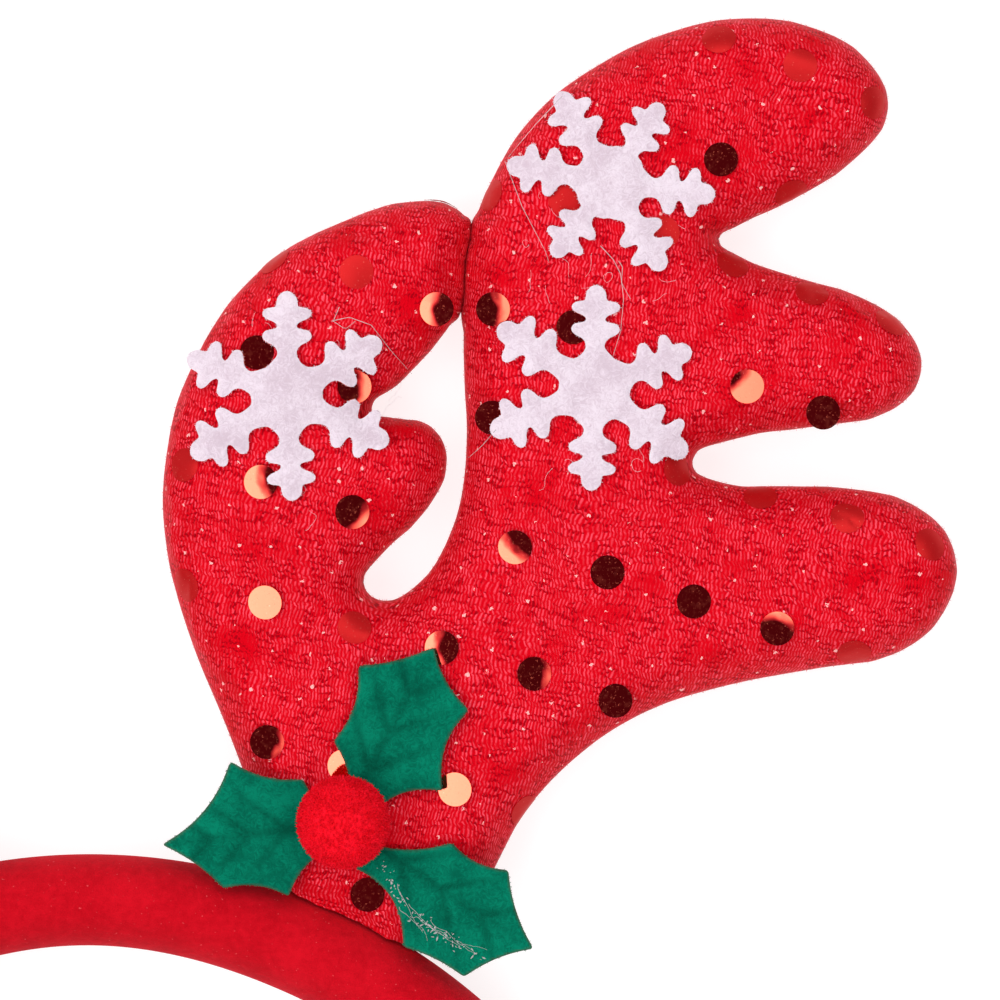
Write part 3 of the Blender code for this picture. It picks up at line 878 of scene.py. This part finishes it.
def roundedLoop(loop, corner=None):
    # a smooth curve through an outline that keeps its spikes
    before, after = loop - np.roll(loop, 1, 0), np.roll(loop, -1, 0) - loop
    crossed = before[:, 0] * after[:, 1] - before[:, 1] * after[:, 0]
    turn = np.abs(np.arctan2(crossed, np.sum(before * after, 1)))
    spikes = np.where(turn > corner)[0] if corner else []
    if len(spikes) < 2:
        return evened(closedCurve(loop, 8), felt["outlineSpacing"])
    points = []
    for start, end in zip(spikes, np.roll(spikes, -1)):
        run = loop[np.arange(start, end + 1 + (len(loop) if end <= start else 0)) % len(loop)]
        doubled = np.vstack((run, run[::-1][1:-1])) if len(run) > 2 else run
        curve = closedCurve(doubled, 6)[:6 * (len(run) - 1) + 1] if len(run) > 2 else run
        points.extend(evened(curve, felt["outlineSpacing"], closed=False)[:-1])
    points = np.array(points)
    for _ in range(leaves["softening"]):
        points = 0.5 * points + 0.25 * (np.roll(points, 1, 0) + np.roll(points, -1, 0))
    return points


def feltMesh(name, loop, under, gridSpacing, pressed=None):
    # a felt shape cut along the loop, its underside at the height that under() gives
    outline = Outline(loop)
    form = bmesh.new()
    layers = form.verts.layers.float
    for layer in ("crease", "rim"):
        layers.new(layer)
    crease, rim = (layers[layer] for layer in ("crease", "rim"))
    ordered = loop if outline.area > 0 else loop[::-1]
    sheet = form.faces.new([form.verts.new((x, y, 0)) for x, y in ordered])
    edgeVerts = set(form.verts)
    bmesh.ops.inset_region(form, faces=[sheet], thickness=felt["rim"], use_boundary=True,
                           use_even_offset=True)
    (lowX, lowY), (highX, highY) = loop.min(0), loop.max(0)
    for axis, low, high in (((1, 0, 0), lowX, highX), ((0, 1, 0), lowY, highY)):
        for place in np.arange(low, high, gridSpacing)[1:]:
            inner = [face for face in form.faces if not edgeVerts.intersection(face.verts)]
            geometry = inner + list({edge for face in inner for edge in face.edges})
            bmesh.ops.bisect_plane(form, geom=geometry, plane_co=Vector(axis) * place, plane_no=axis)
    bmesh.ops.triangulate(form, faces=[face for face in form.faces if len(face.verts) > 4])
    lower = list(form.faces)
    upper = bmesh.ops.extrude_face_region(form, geom=lower, use_keep_orig=True)["geom"]
    top = [item for item in upper if isinstance(item, bmesh.types.BMVert)]
    topSet = set(top)
    verts = list(form.verts)
    places = np.array([vert.co.xy for vert in verts])
    distance, _, _ = outline.measure(places)
    base = under(places)
    dents = pressed(places) if pressed else np.zeros(len(verts))
    for vert, place, depth, height, dent in zip(verts, places, distance, base, dents):
        edge = max(0.0, 1 - depth / felt["rim"])
        if vert in topSet:
            height += felt["thickness"] - felt["rimDrop"] * felt["rim"] * edge - leaves["veinDepth"] * dent
            # how deep the crease is pressed, which sets how dark its painted shade is
            vert[crease] = dent
        vert[rim] = edge
        vert.co.z = height
    bmesh.ops.recalc_face_normals(form, faces=form.faces)
    return meshOf(form, name), outline


def layFelt(name, loop, under, gridSpacing, material, pressed=None):
    # a felt piece and its mirror image, both cut flat from a sheet and laid on the antler
    mesh, outline = feltMesh(f"felt_{name}_right", loop, under, gridSpacing, pressed)
    size = outline.points.max(0) - outline.points.min(0)
    pieces = bothSides(f"felt_{name}", mesh, material, name, felt["sharp"])
    return mesh, outline


def flakeHeight(places):
    # over the padding, but it bends down only so far past the antler's edge
    distance, _, _ = antlerEdge.measure(places)
    padded = midHeight + paddedHeight(np.maximum(distance, 0))
    lowest = antlerHigh.z - flakes["droop"]
    soft = flakes["softness"]
    return lowest + soft * np.logaddexp(0, (padded - lowest) / soft) + felt["gap"]


def flakeLoop(flake):
    # six arms, each with two pairs of round lobes and a round tip, and a round notch after each arm
    place, arms = flakes[flake]
    half = [*flakes["neck"], *flakes["innerLobe"], *flakes["waist"], *flakes["outerLobe"], *flakes["tipLobe"]]
    half = [(along, across * (1, -1)[side]) for side in (0, 1) for along, across in (half, half[::-1])[side]]
    points = []
    for (turn, length), (onward, _) in zip(arms, arms[1:] + ((arms[0][0] - 360, 1),)):
        out = turned(1, 0, math.radians(turn) - photo["turn"])
        left = np.array((-out[1], out[0]))
        points += [(out * along + left * across) * length for along, across in half]
        for swing, reach in reversed(flakes["notch"]):
            points.append(turned(reach, 0, math.radians((turn + onward) / 2 + swing) - photo["turn"]))
    loop = np.array(points) * flakes["radius"] + photoPlace(*place)
    return evened(closedCurve(loop, 5), felt["outlineSpacing"])


def makeFlake(flake):
    return layFelt(f"flake_{flake}", flakeLoop(flake), flakeHeight, flakes["gridSpacing"], whiteFelt)


pompomLow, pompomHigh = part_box("pompom_right")
pompomMiddle = np.array(((pompomLow.x + pompomHigh.x) / 2, (pompomLow.y + pompomHigh.y) / 2))
pompomRadius = (pompomHigh.x - pompomLow.x) / 2


def leafHeight(node):
    # the underside of the CAD leaf, with its flat facets evened out
    tree = treeOf(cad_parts[node].data)
    low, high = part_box(node)
    ring = [(leaves["evening"] * math.cos(turn), leaves["evening"] * math.sin(turn))
            for turn in np.linspace(0, 2 * math.pi, leaves["eveningPlaces"] + 1)[:-1]]

    def under(places):
        heights = np.empty(len(places))
        for index, (x, y) in enumerate(places):
            hits = [straightDown(tree, x + dx, y + dy)[0] for dx, dy in [(0, 0), *ring]]
            hits = [hit.z for hit in hits if hit and hit.z > low.z + 0.5 * felt["thickness"]]
            free = min(1, max(0, math.dist((x, y), pompomMiddle) / pompomRadius - 1))
            rise = 0.5 + noise.noise(Vector((x, y, low.z)) / leaves["billowSize"])
            heights[index] = (sum(hits) / len(hits) if hits else high.z) + leaves["billow"] * free * rise
        return heights - felt["thickness"]

    return under


def veinPressing(loop, middle):
    # how hard each place is pressed in: a middle vein from the pompom to the leaf's tip, and side veins
    tip = loop[np.argmax(np.linalg.norm(loop - middle, axis=1))]
    run = tip - middle
    length = np.linalg.norm(run)
    veins = [[middle + run * share for share in leaves["middleVein"]]]
    longest, shortened = leaves["sideReach"]
    for share in leaves["sideVeins"]:
        root = middle + run * share
        for side in (1, -1):
            away = turned(*(run / length), side * leaves["veinAngle"])
            veins.append((root, root + away * length * (longest - shortened * share)))

    def pressed(places):
        depth = np.zeros(len(places))
        for start, end in veins:
            line = end - start
            share = np.clip(((places - start) @ line) / (line @ line), 0, 1)
            away = np.linalg.norm(places - (start + share[:, None] * line), axis=1)
            fade = 1 - leaves["veinFade"] * share
            depth = np.maximum(depth, fade * np.exp(-(away / leaves["veinWidth"]) ** 2))
        return depth

    return pressed


def makeLeaf(leaf):
    node = f"leaf_{leaf}_right"
    loop = roundedLoop(cutLoop(node), leaves["corner"])
    return layFelt(f"leaf_{leaf}", loop, leafHeight(node), leaves["gridSpacing"], greenFelt,
                   veinPressing(loop, pompomMiddle))


feltParts = {f"flake_{flake}": makeFlake(flake) for flake in ("curl", "middle", "top")}
feltParts.update({f"leaf_{leaf}": makeLeaf(leaf) for leaf in ("upper", "inner", "outer")})
print("felt:", sum(len(mesh.polygons) for mesh, _ in feltParts.values()), "faces")


# Pompom

pompom = {
    "core": 0.95,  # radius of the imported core, as a share of the whole
    "shift": (0.00025, 0.00022),  # the tuft is combed a little to one side
    "fibres": 12500,
    "fibreLength": (0.00040, 0.00072),
    "fibreRadius": 0.040,  # share of a fibre's length, and how far its tip bends over
    "fibreBend": 0.35,
    "rooted": 0.97,  # share of the core's radius where the fibres start
    "stray": 0.75,
    "roughness": 0.006,
    "gap": 0.00005,
}


def makePompoms():
    middle = Vector((*(pompomMiddle + pompom["shift"]), pompomHigh.z - pompomRadius))
    core = pompomRadius * pompom["core"]
    form = bmesh.new()
    bmesh.ops.create_icosphere(form, subdivisions=5, radius=core)
    chance = random.Random(4)
    for vert in form.verts:
        vert.co *= 1 + chance.uniform(-pompom["roughness"], pompom["roughness"])
        vert.co += middle
        vert.co.z = max(vert.co.z, pompomLow.z + pompom["gap"])
    bothSides("pompom_core", meshOf(form, "pompom_core_right"), redPile, "pompom")

    places = []
    golden = math.pi * (3 - math.sqrt(5))
    for index in range(pompom["fibres"]):
        height = 1 - 2 * (index + 0.5) / pompom["fibres"]
        ring = math.sqrt(1 - height * height)
        outward = Vector((math.cos(golden * index) * ring, math.sin(golden * index) * ring, height))
        root = middle + outward * core * pompom["rooted"]
        stray = Vector([chance.gauss(0, pompom["stray"]) for _ in range(3)])
        length = chance.uniform(*pompom["fibreLength"])
        if root.z < pompomLow.z + length:
            continue
        places.append(standing(root, outward + stray, length, chance))
    fibre = fibreTemplate(pompom["fibreRadius"], pompom["fibreBend"])
    mesh = joinedCopies("pompom_pile_right", fibre, places)
    bothSides("pompom_pile", mesh, redPile)
    return len(places)


print("pompom fibres:", makePompoms())


# Sequins

sequin = {
    "radius": 0.0020,
    "thickness": 0.00005,
    "lift": 0.00010,
    "crown": 0.00007,  # how far the middle stands up
    "sides": 28,
    "rings": (0.22, 0.30, 0.26),  # widths of the rings of faces, as shares of the radius
    "sharp": math.radians(45),
}
# column and row in the photograph, finish, which way a disc leans (0 right, 90 up), and how far in degrees
sequinRows = (
    ("curl, left edge", 275, 262, "dull", 0, 0),
    ("curl, top edge", 441, 202, "dull", 0, 0),
    ("curl, upper", 357, 273, "dull", 0, 0),
    ("curl, tip", 437, 310, "mirror", 180, 7.0),
    ("curl, under the snowflake", 258, 353, "mirror", 0, 0),
    ("curl, right of the snowflake", 355, 387, "mirror", 0, 7.0),
    ("curl, outer edge", 185, 465, "dull", 0, 0),
    ("below the curl's snowflake", 262, 482, "mirror", 190, 8.0),
    ("small tine", 353, 512, "mirror", -35, 6.0),
    ("stem, full face", 266, 602, "mirror", 215, 14.0),
    ("stem, outer edge", 188, 585, "dull", 0, 0),
    ("stem, dull", 355, 627, "dull", 0, 0),
    ("above the upper leaf", 442, 647, "mirror", 180, 7.0),
    ("stem, middle", 534, 673, "mirror", 0, 5.0),
    ("stem, lower left", 268, 741, "mirror", -5, 5.5),
    ("beside the pompom", 345, 765, "mirror", 215, 14.0),
    ("right of the pompom", 455, 788, "mirror", 200, 14.0),
    ("stem, right edge", 523, 809, "dull", 0, 0),
    ("foot", 368, 893, "mirror", 0, 0),
    ("main branch, left", 493, 310, "mirror", 0, 6.5),
    ("main branch, under the snowflake", 573, 328, "mirror", 200, 3.0),
    ("main branch, left of the snowflake", 492, 418, "mirror", 0, 0),
    ("top snowflake, left notch", 565, 200, "dull", 0, 0),
    ("top snowflake, right notch", 662, 234, "dull", 0, 0),
    ("upper tine, left edge", 491, 196, "dull", 0, 0),
    ("upper tine, top edge", 718, 40, "dull", 0, 0),
    ("upper tine, above", 799, 67, "dull", 0, 0),
    ("upper tine, tip", 873, 104, "dull", 0, 0),
    ("upper tine, middle", 720, 161, "mirror", 0, 0),
    ("upper tine, lower edge", 790, 193, "dull", 0, 0),
    ("middle tine, notch", 732, 265, "dull", 0, 0),
    ("middle tine, upper edge", 811, 294, "dull", 0, 0),
    ("middle tine, tip", 890, 322, "dull", 0, 0),
    ("middle tine, bright", 746, 387, "mirror", -45, 10.0),
    ("middle tine, lower edge", 822, 413, "mirror", 250, 2.0),
    ("lower tine, notch", 677, 470, "dull", 0, 0),
    ("lower tine, upper edge", 760, 497, "dull", 0, 0),
    ("lower tine, above", 846, 517, "dull", 0, 0),
    ("lower tine, tip", 929, 544, "dull", 0, 0),
    ("main branch, half bright", 515, 547, "mirror", 225, 7.5),
    ("main branch, dark", 607, 572, "mirror", 0, 0),
    ("lower tine, dark", 693, 601, "mirror", 0, 0),
    ("lower tine, bright above", 776, 628, "mirror", 80, 6.0),
    ("lower tine, lower edge", 853, 652, "dull", 0, 0),
    ("stem, right", 615, 700, "mirror", 300, 2.0),
)


def sequinForm():
    # a disc with a few rings, so that it can lie along the padding
    form = bmesh.new()
    bmesh.ops.create_circle(form, cap_ends=True, segments=sequin["sides"], radius=1)
    face = form.faces[:]
    for width in sequin["rings"]:
        bmesh.ops.inset_region(form, faces=face, thickness=width, use_boundary=True)
    return form


def makeSequins():
    # a dull disc is pressed onto the padding, and a mirror disc lies stiff on it at its own tilt
    joined = {"mirror": bmesh.new(), "dull": bmesh.new()}
    for _, column, row, finish, toward, lean in sequinRows:
        centre, normal = frontOf(antlerTree, *photoPlace(column, row), midHeight)
        stiff = finish == "mirror"
        if stiff:
            toward, lean = math.radians(toward), math.radians(lean)
            downhill = turned(math.cos(toward), math.sin(toward), -photo["turn"]) * math.sin(lean)
            normal = Vector((*downhill, math.cos(lean)))
        upright = normal.to_track_quat("Z", "Y").to_matrix()
        form = sequinForm()
        over = 0
        for vert in form.verts:
            crown = sequin["crown"] * (1 - vert.co.length_squared)
            place = centre + upright @ (vert.co * sequin["radius"])
            if stiff:
                vert.co = place + normal * crown
                over = max(over, frontOf(antlerTree, place.x, place.y, 0)[0].z - vert.co.z)
            else:
                near, direction, _, _ = antlerTree.find_nearest(place)
                vert.co = near + direction * (sequin["lift"] + crown)
        if stiff:
            bmesh.ops.translate(form, verts=form.verts, vec=(0, 0, over + sequin["lift"]))
        bmesh.ops.recalc_face_normals(form, faces=form.faces)
        for face in form.faces:
            if face.normal.dot(normal) < 0:
                face.normal_flip()
        bmesh.ops.solidify(form, geom=form.faces[:], thickness=sequin["thickness"])
        single = meshOf(form, "sequin")
        joined[finish].from_mesh(single)
        bpy.data.meshes.remove(single)
    for finish, material in (("mirror", mirrorFoil), ("dull", dullFoil)):
        bothSides(f"sequins_{finish}", meshOf(joined[finish], f"sequins_{finish}_right"), material,
                  sharp=sequin["sharp"])


makeSequins()
print("sequins:", len(sequinRows), "on each antler")


# Loose fibres along the edges

fuzz = {
    "antler": (1500, 0.00008, 0.00022),  # how many, shortest, longest
    "flake": (900, 0.00006, 0.00026),
    "leaf": (350, 0.00008, 0.00026),
    "radius": 0.030,  # share of a fibre's length, and how far its tip bends over
    "bend": 0.4,
    "rise": (-0.5, 0.7),  # how steeply the fibres stand, down and up
    "stray": 0.5,
    "rooted": 0.00003,
    "bandReach": 0.001,  # none grow this near to the band
    "antlerSpread": 0.0004,  # how far up and down from the middle of the edge they grow
    "feltSpread": 0.0003,
    "feltMiddle": 0.0004,
}


def edgeFuzz(name, outline, kind, height, material, slot, seed, spread):
    # short fibres that stand out of an outline
    chance = random.Random(seed)
    count, shortest, longest = fuzz[kind]
    places = []
    for _ in range(count):
        index = chance.randrange(len(outline.points))
        (x, y), (inX, inY) = outline.points[index], outline.inward[index]
        outward = Vector((-inX, -inY, chance.uniform(*fuzz["rise"])))
        stray = Vector([chance.gauss(0, fuzz["stray"]) for _ in range(3)])
        length = chance.uniform(shortest, longest)
        root = Vector((x, y, height(x, y) + chance.uniform(-spread, spread))) - outward * fuzz["rooted"]
        if bandTree.find_nearest(root, fuzz["bandReach"])[0]:
            continue
        places.append(standing(root, outward + stray, length, chance))
    mesh = joinedCopies(f"{name}_right", fibreTemplate(fuzz["radius"], fuzz["bend"]), places)
    bothSides(name, mesh, material)


def makeFuzz():
    edgeFuzz("knit_fuzz", antlerEdge, "antler", lambda x, y: midHeight, redLint, "knit", 11,
             fuzz["antlerSpread"])
    finishes = {"flake": (whiteLint, "white_felt"), "leaf": (greenLint, "green_felt")}
    for seed, (name, (mesh, outline)) in zip((20, 21, 22, 30, 31, 32), feltParts.items()):
        tree = treeOf(mesh)

        def edgeHeight(x, y):
            return tree.find_nearest(Vector((x, y, antlerHigh.z)))[0].z + fuzz["feltMiddle"]

        kind = name.split("_")[0]
        edgeFuzz(f"{name}_fuzz", outline, kind, edgeHeight, *finishes[kind], seed, fuzz["feltSpread"])


makeFuzz()
print("loose fibres made")


# Glue drawn out into strings, and curled lint

drawn = {
    "stringRadius": 0.00005,
    "smearRadius": 0.00003,
    "lintRadius": 0.000018,
    "step": 0.0004,
    "waver": 0.00016,
    "lint": 30,
    "lintScatter": 14,  # pixels of the photograph
    "lintSteps": (9, 20),
    "lintStep": 0.00022,
    "lintCurl": (0.20, 0.22),  # radians a step, the same all along a hair and changing
    "smear": 7,
    "smearScatter": 3.5,  # pixels
    "drops": 95,
    "dropRadius": (0.00003, 0.00011),
    "dropScatter": 0.0004,
    "dropLength": 3.5,  # the longest drop, in its widths
    "dropFlat": 0.4,
    "dropRise": 0.3,
    "strings": (
        ("along the edge, top snowflake", ((562, 98), (535, 126), (508, 158))),
        ("top snowflake, left", ((505, 162), (522, 208), (545, 252), (549, 264))),
        ("between the snowflakes", ((600, 247), (613, 261), (620, 275), (623, 300), (620, 332), (612, 358))),
        ("between the snowflakes, loose end", ((618, 262), (622, 268), (621, 284), (630, 300))),
        ("right of the curl's snowflake", ((332, 322), (350, 318), (372, 326), (392, 352), (412, 374))),
        ("middle snowflake, lower left", ((496, 430), (482, 446), (466, 460))),
        ("curl's snowflake, upper right", ((340, 308), (334, 322), (346, 330), (356, 322))),
    ),
    "smearLine": ((384, 862), (396, 884), (408, 906), (428, 922), (452, 938), (480, 954)),
    "lintSpots": ((548, 300), (575, 270), (540, 230), (650, 290), (660, 230), (560, 225), (590, 262),
                  (640, 470), (560, 470), (330, 350), (395, 380), (300, 480), (250, 330), (230, 440),
                  (600, 160), (690, 215)),
}
coverTrees = [antlerTree, treeOf(headbandMesh), *(treeOf(mesh) for mesh, _ in feltParts.values())]


def coverHeight(x, y):
    # the highest front surface under a place
    hits = [straightDown(tree, x, y)[0] for tree in coverTrees]
    return max([hit.z for hit in hits if hit], default=midHeight)


def photoLine(corners):
    return evened(np.array([photoPlace(*corner) for corner in corners]), drawn["step"], closed=False)


def laidPath(corners, radius, chance=None):
    # a strand drawn straight from corner to corner, or wavering, resting on whatever stands higher
    line = photoLine(corners)
    if chance:
        line += np.array([(chance.gauss(0, drawn["waver"]), chance.gauss(0, drawn["waver"])) for _ in line])
        line[1:-1] = 0.5 * line[1:-1] + 0.25 * (line[:-2] + line[2:])
    ends = [coverHeight(*line[index]) for index in (0, -1)]
    straight = np.linspace(*ends, len(line))
    return [(x, y, max(coverHeight(x, y), level) + radius) for (x, y), level in zip(line, straight)]


def curledPath(column, row, chance, radius):
    # a hair of lint that curls on the surface
    scatter, (evenCurl, looseCurl) = drawn["lintScatter"], drawn["lintCurl"]
    turn, curl = chance.uniform(*anyTurn), chance.gauss(0, evenCurl)
    x, y = photoPlace(column + chance.gauss(0, scatter), row + chance.gauss(0, scatter))
    path = []
    for _ in range(chance.randint(*drawn["lintSteps"])):
        path.append((x, y, coverHeight(x, y) + radius))
        turn += curl + chance.gauss(0, looseCurl)
        x, y = np.array((x, y)) + turned(drawn["lintStep"], 0, turn)
    return path


def makeSmears(chance):
    # fine strands along the smear, and flat drops among them
    smears = []
    corners, scatter = drawn["smearLine"], drawn["smearScatter"]
    for _ in range(drawn["smear"]):
        first = chance.randrange(len(corners) - 1)
        last = min(len(corners), first + chance.choice((2, 2, 3, 4)))
        loose = [(column + chance.gauss(0, scatter), row + chance.gauss(0, scatter))
                 for column, row in corners[first:last]]
        smears.append(laidPath(loose, drawn["smearRadius"], chance))
    strands = strandMesh("glue_smear_right", smears, drawn["smearRadius"])
    bothSides("glue_smear", strands, glue)

    form = bmesh.new()
    bmesh.ops.create_icosphere(form, subdivisions=1, radius=1)
    line, scatter = photoLine(corners), drawn["dropScatter"]
    drops = []
    for _ in range(drawn["drops"]):
        x, y = line[chance.randrange(len(line))] + (chance.gauss(0, scatter), chance.gauss(0, scatter))
        size = chance.uniform(*drawn["dropRadius"])
        turn = Matrix.Rotation(chance.uniform(*anyTurn), 4, "Z")
        flat = Matrix.Diagonal((chance.uniform(1, drawn["dropLength"]), 1, drawn["dropFlat"], 1))
        place = Matrix.Translation((x, y, coverHeight(x, y) + drawn["dropRise"] * size))
        drops.append(place @ turn @ flat @ Matrix.Scale(size, 4))
    bothSides("glue_drops", joinedCopies("glue_drops_right", meshOf(form, "drop"), drops), glue)


def makeDrawn():
    strings = [laidPath(corners, drawn["stringRadius"]) for _, corners in drawn["strings"]]
    bothSides("glue_strings", strandMesh("glue_strings_right", strings, drawn["stringRadius"]), glue)
    chance = random.Random(8)
    makeSmears(chance)
    hairs = [curledPath(*drawn["lintSpots"][index % len(drawn["lintSpots"])], chance, drawn["lintRadius"])
             for index in range(drawn["lint"])]
    bothSides("lint", strandMesh("lint_right", hairs, drawn["lintRadius"]), whiteLint)


makeDrawn()
print("glue strings and lint made")


# Camera, light and floor

studio = {
    "lens": 400,  # a long lens, as the photograph shows next to no perspective
    "clip": 20,
    "sensor": 36,
    "floor": 3.0,
    "zenith": 0.075,
    "ring": 2.7,
    "sides": 0.40,
    "ringStart": (0.70, 0.77),  # how far up the tent, from the horizon to the zenith
    "openingStart": (0.945, 0.968),
    "floorGap": 0.00005,
    "redness": (0.88, 0.66),  # how much green and blue the opening lacks
    "darkSide": 0.55,
}


def makeCamera():
    width = photo["size"] / photo["pixelsPerMetre"]
    x, y = photoPlace(photo["size"] / 2, photo["size"] / 2)
    camera = bpy.data.cameras.new("camera")
    camera.lens = studio["lens"]
    camera.sensor_width = studio["sensor"]
    camera.clip_end = studio["clip"]
    seat = bpy.data.objects.new("camera", camera)
    seat.location = (x, y, midHeight + width / studio["sensor"] * studio["lens"])
    seat.rotation_euler.z = -photo["turn"]
    bpy.context.scene.collection.objects.link(seat)
    bpy.context.scene.camera = seat


def makeLight():
    # a light tent: a bright ring overhead round the dark opening that the camera looks through
    world = bpy.data.worlds.new("light tent")
    bpy.context.scene.world = world
    paint = Paint(world)
    across, _, up = paint.parts(paint.node("ShaderNodeTexCoord"))
    sides, ring, zenith = (studio[name] / studio["ring"] for name in ("sides", "ring", "zenith"))
    (ringLow, ringHigh), (openLow, openHigh) = studio["ringStart"], studio["openingStart"]
    bands = ((0.0, sides), (ringLow, sides), (ringHigh, ring),
             (openLow, ring), (openHigh, zenith), (1.0, zenith))
    brightness = paint.node("ShaderNodeValToRGB", {"stops": bands}, {0: up})
    opening = paint.limited(up, openLow, openHigh)
    green, blue = (1 - lack * opening for lack in studio["redness"])
    tint = paint.node("ShaderNodeCombineXYZ", None, {0: 1.0, 1: green, 2: blue})
    tint = paint.vector("SCALE", tint, 1 - studio["darkSide"] * across)
    colour = paint.vector("MULTIPLY", brightness, tint)
    background = paint.node("ShaderNodeBackground", None, {"Color": colour, "Strength": studio["ring"]})
    paint.node("ShaderNodeOutputWorld", None, {"Surface": background})


def makeFloor():
    form = bmesh.new()
    bmesh.ops.create_grid(form, x_segments=2, y_segments=2, size=studio["floor"])
    bmesh.ops.translate(form, verts=form.verts, vec=(0, 0, -studio["floorGap"]))
    floor = newPiece("floor", meshOf(form, "floor"), floorMaterial())


makeCamera()
makeLight()
makeFloor()
bpy.context.scene.view_settings.view_transform = "Standard"

print("scene finished")
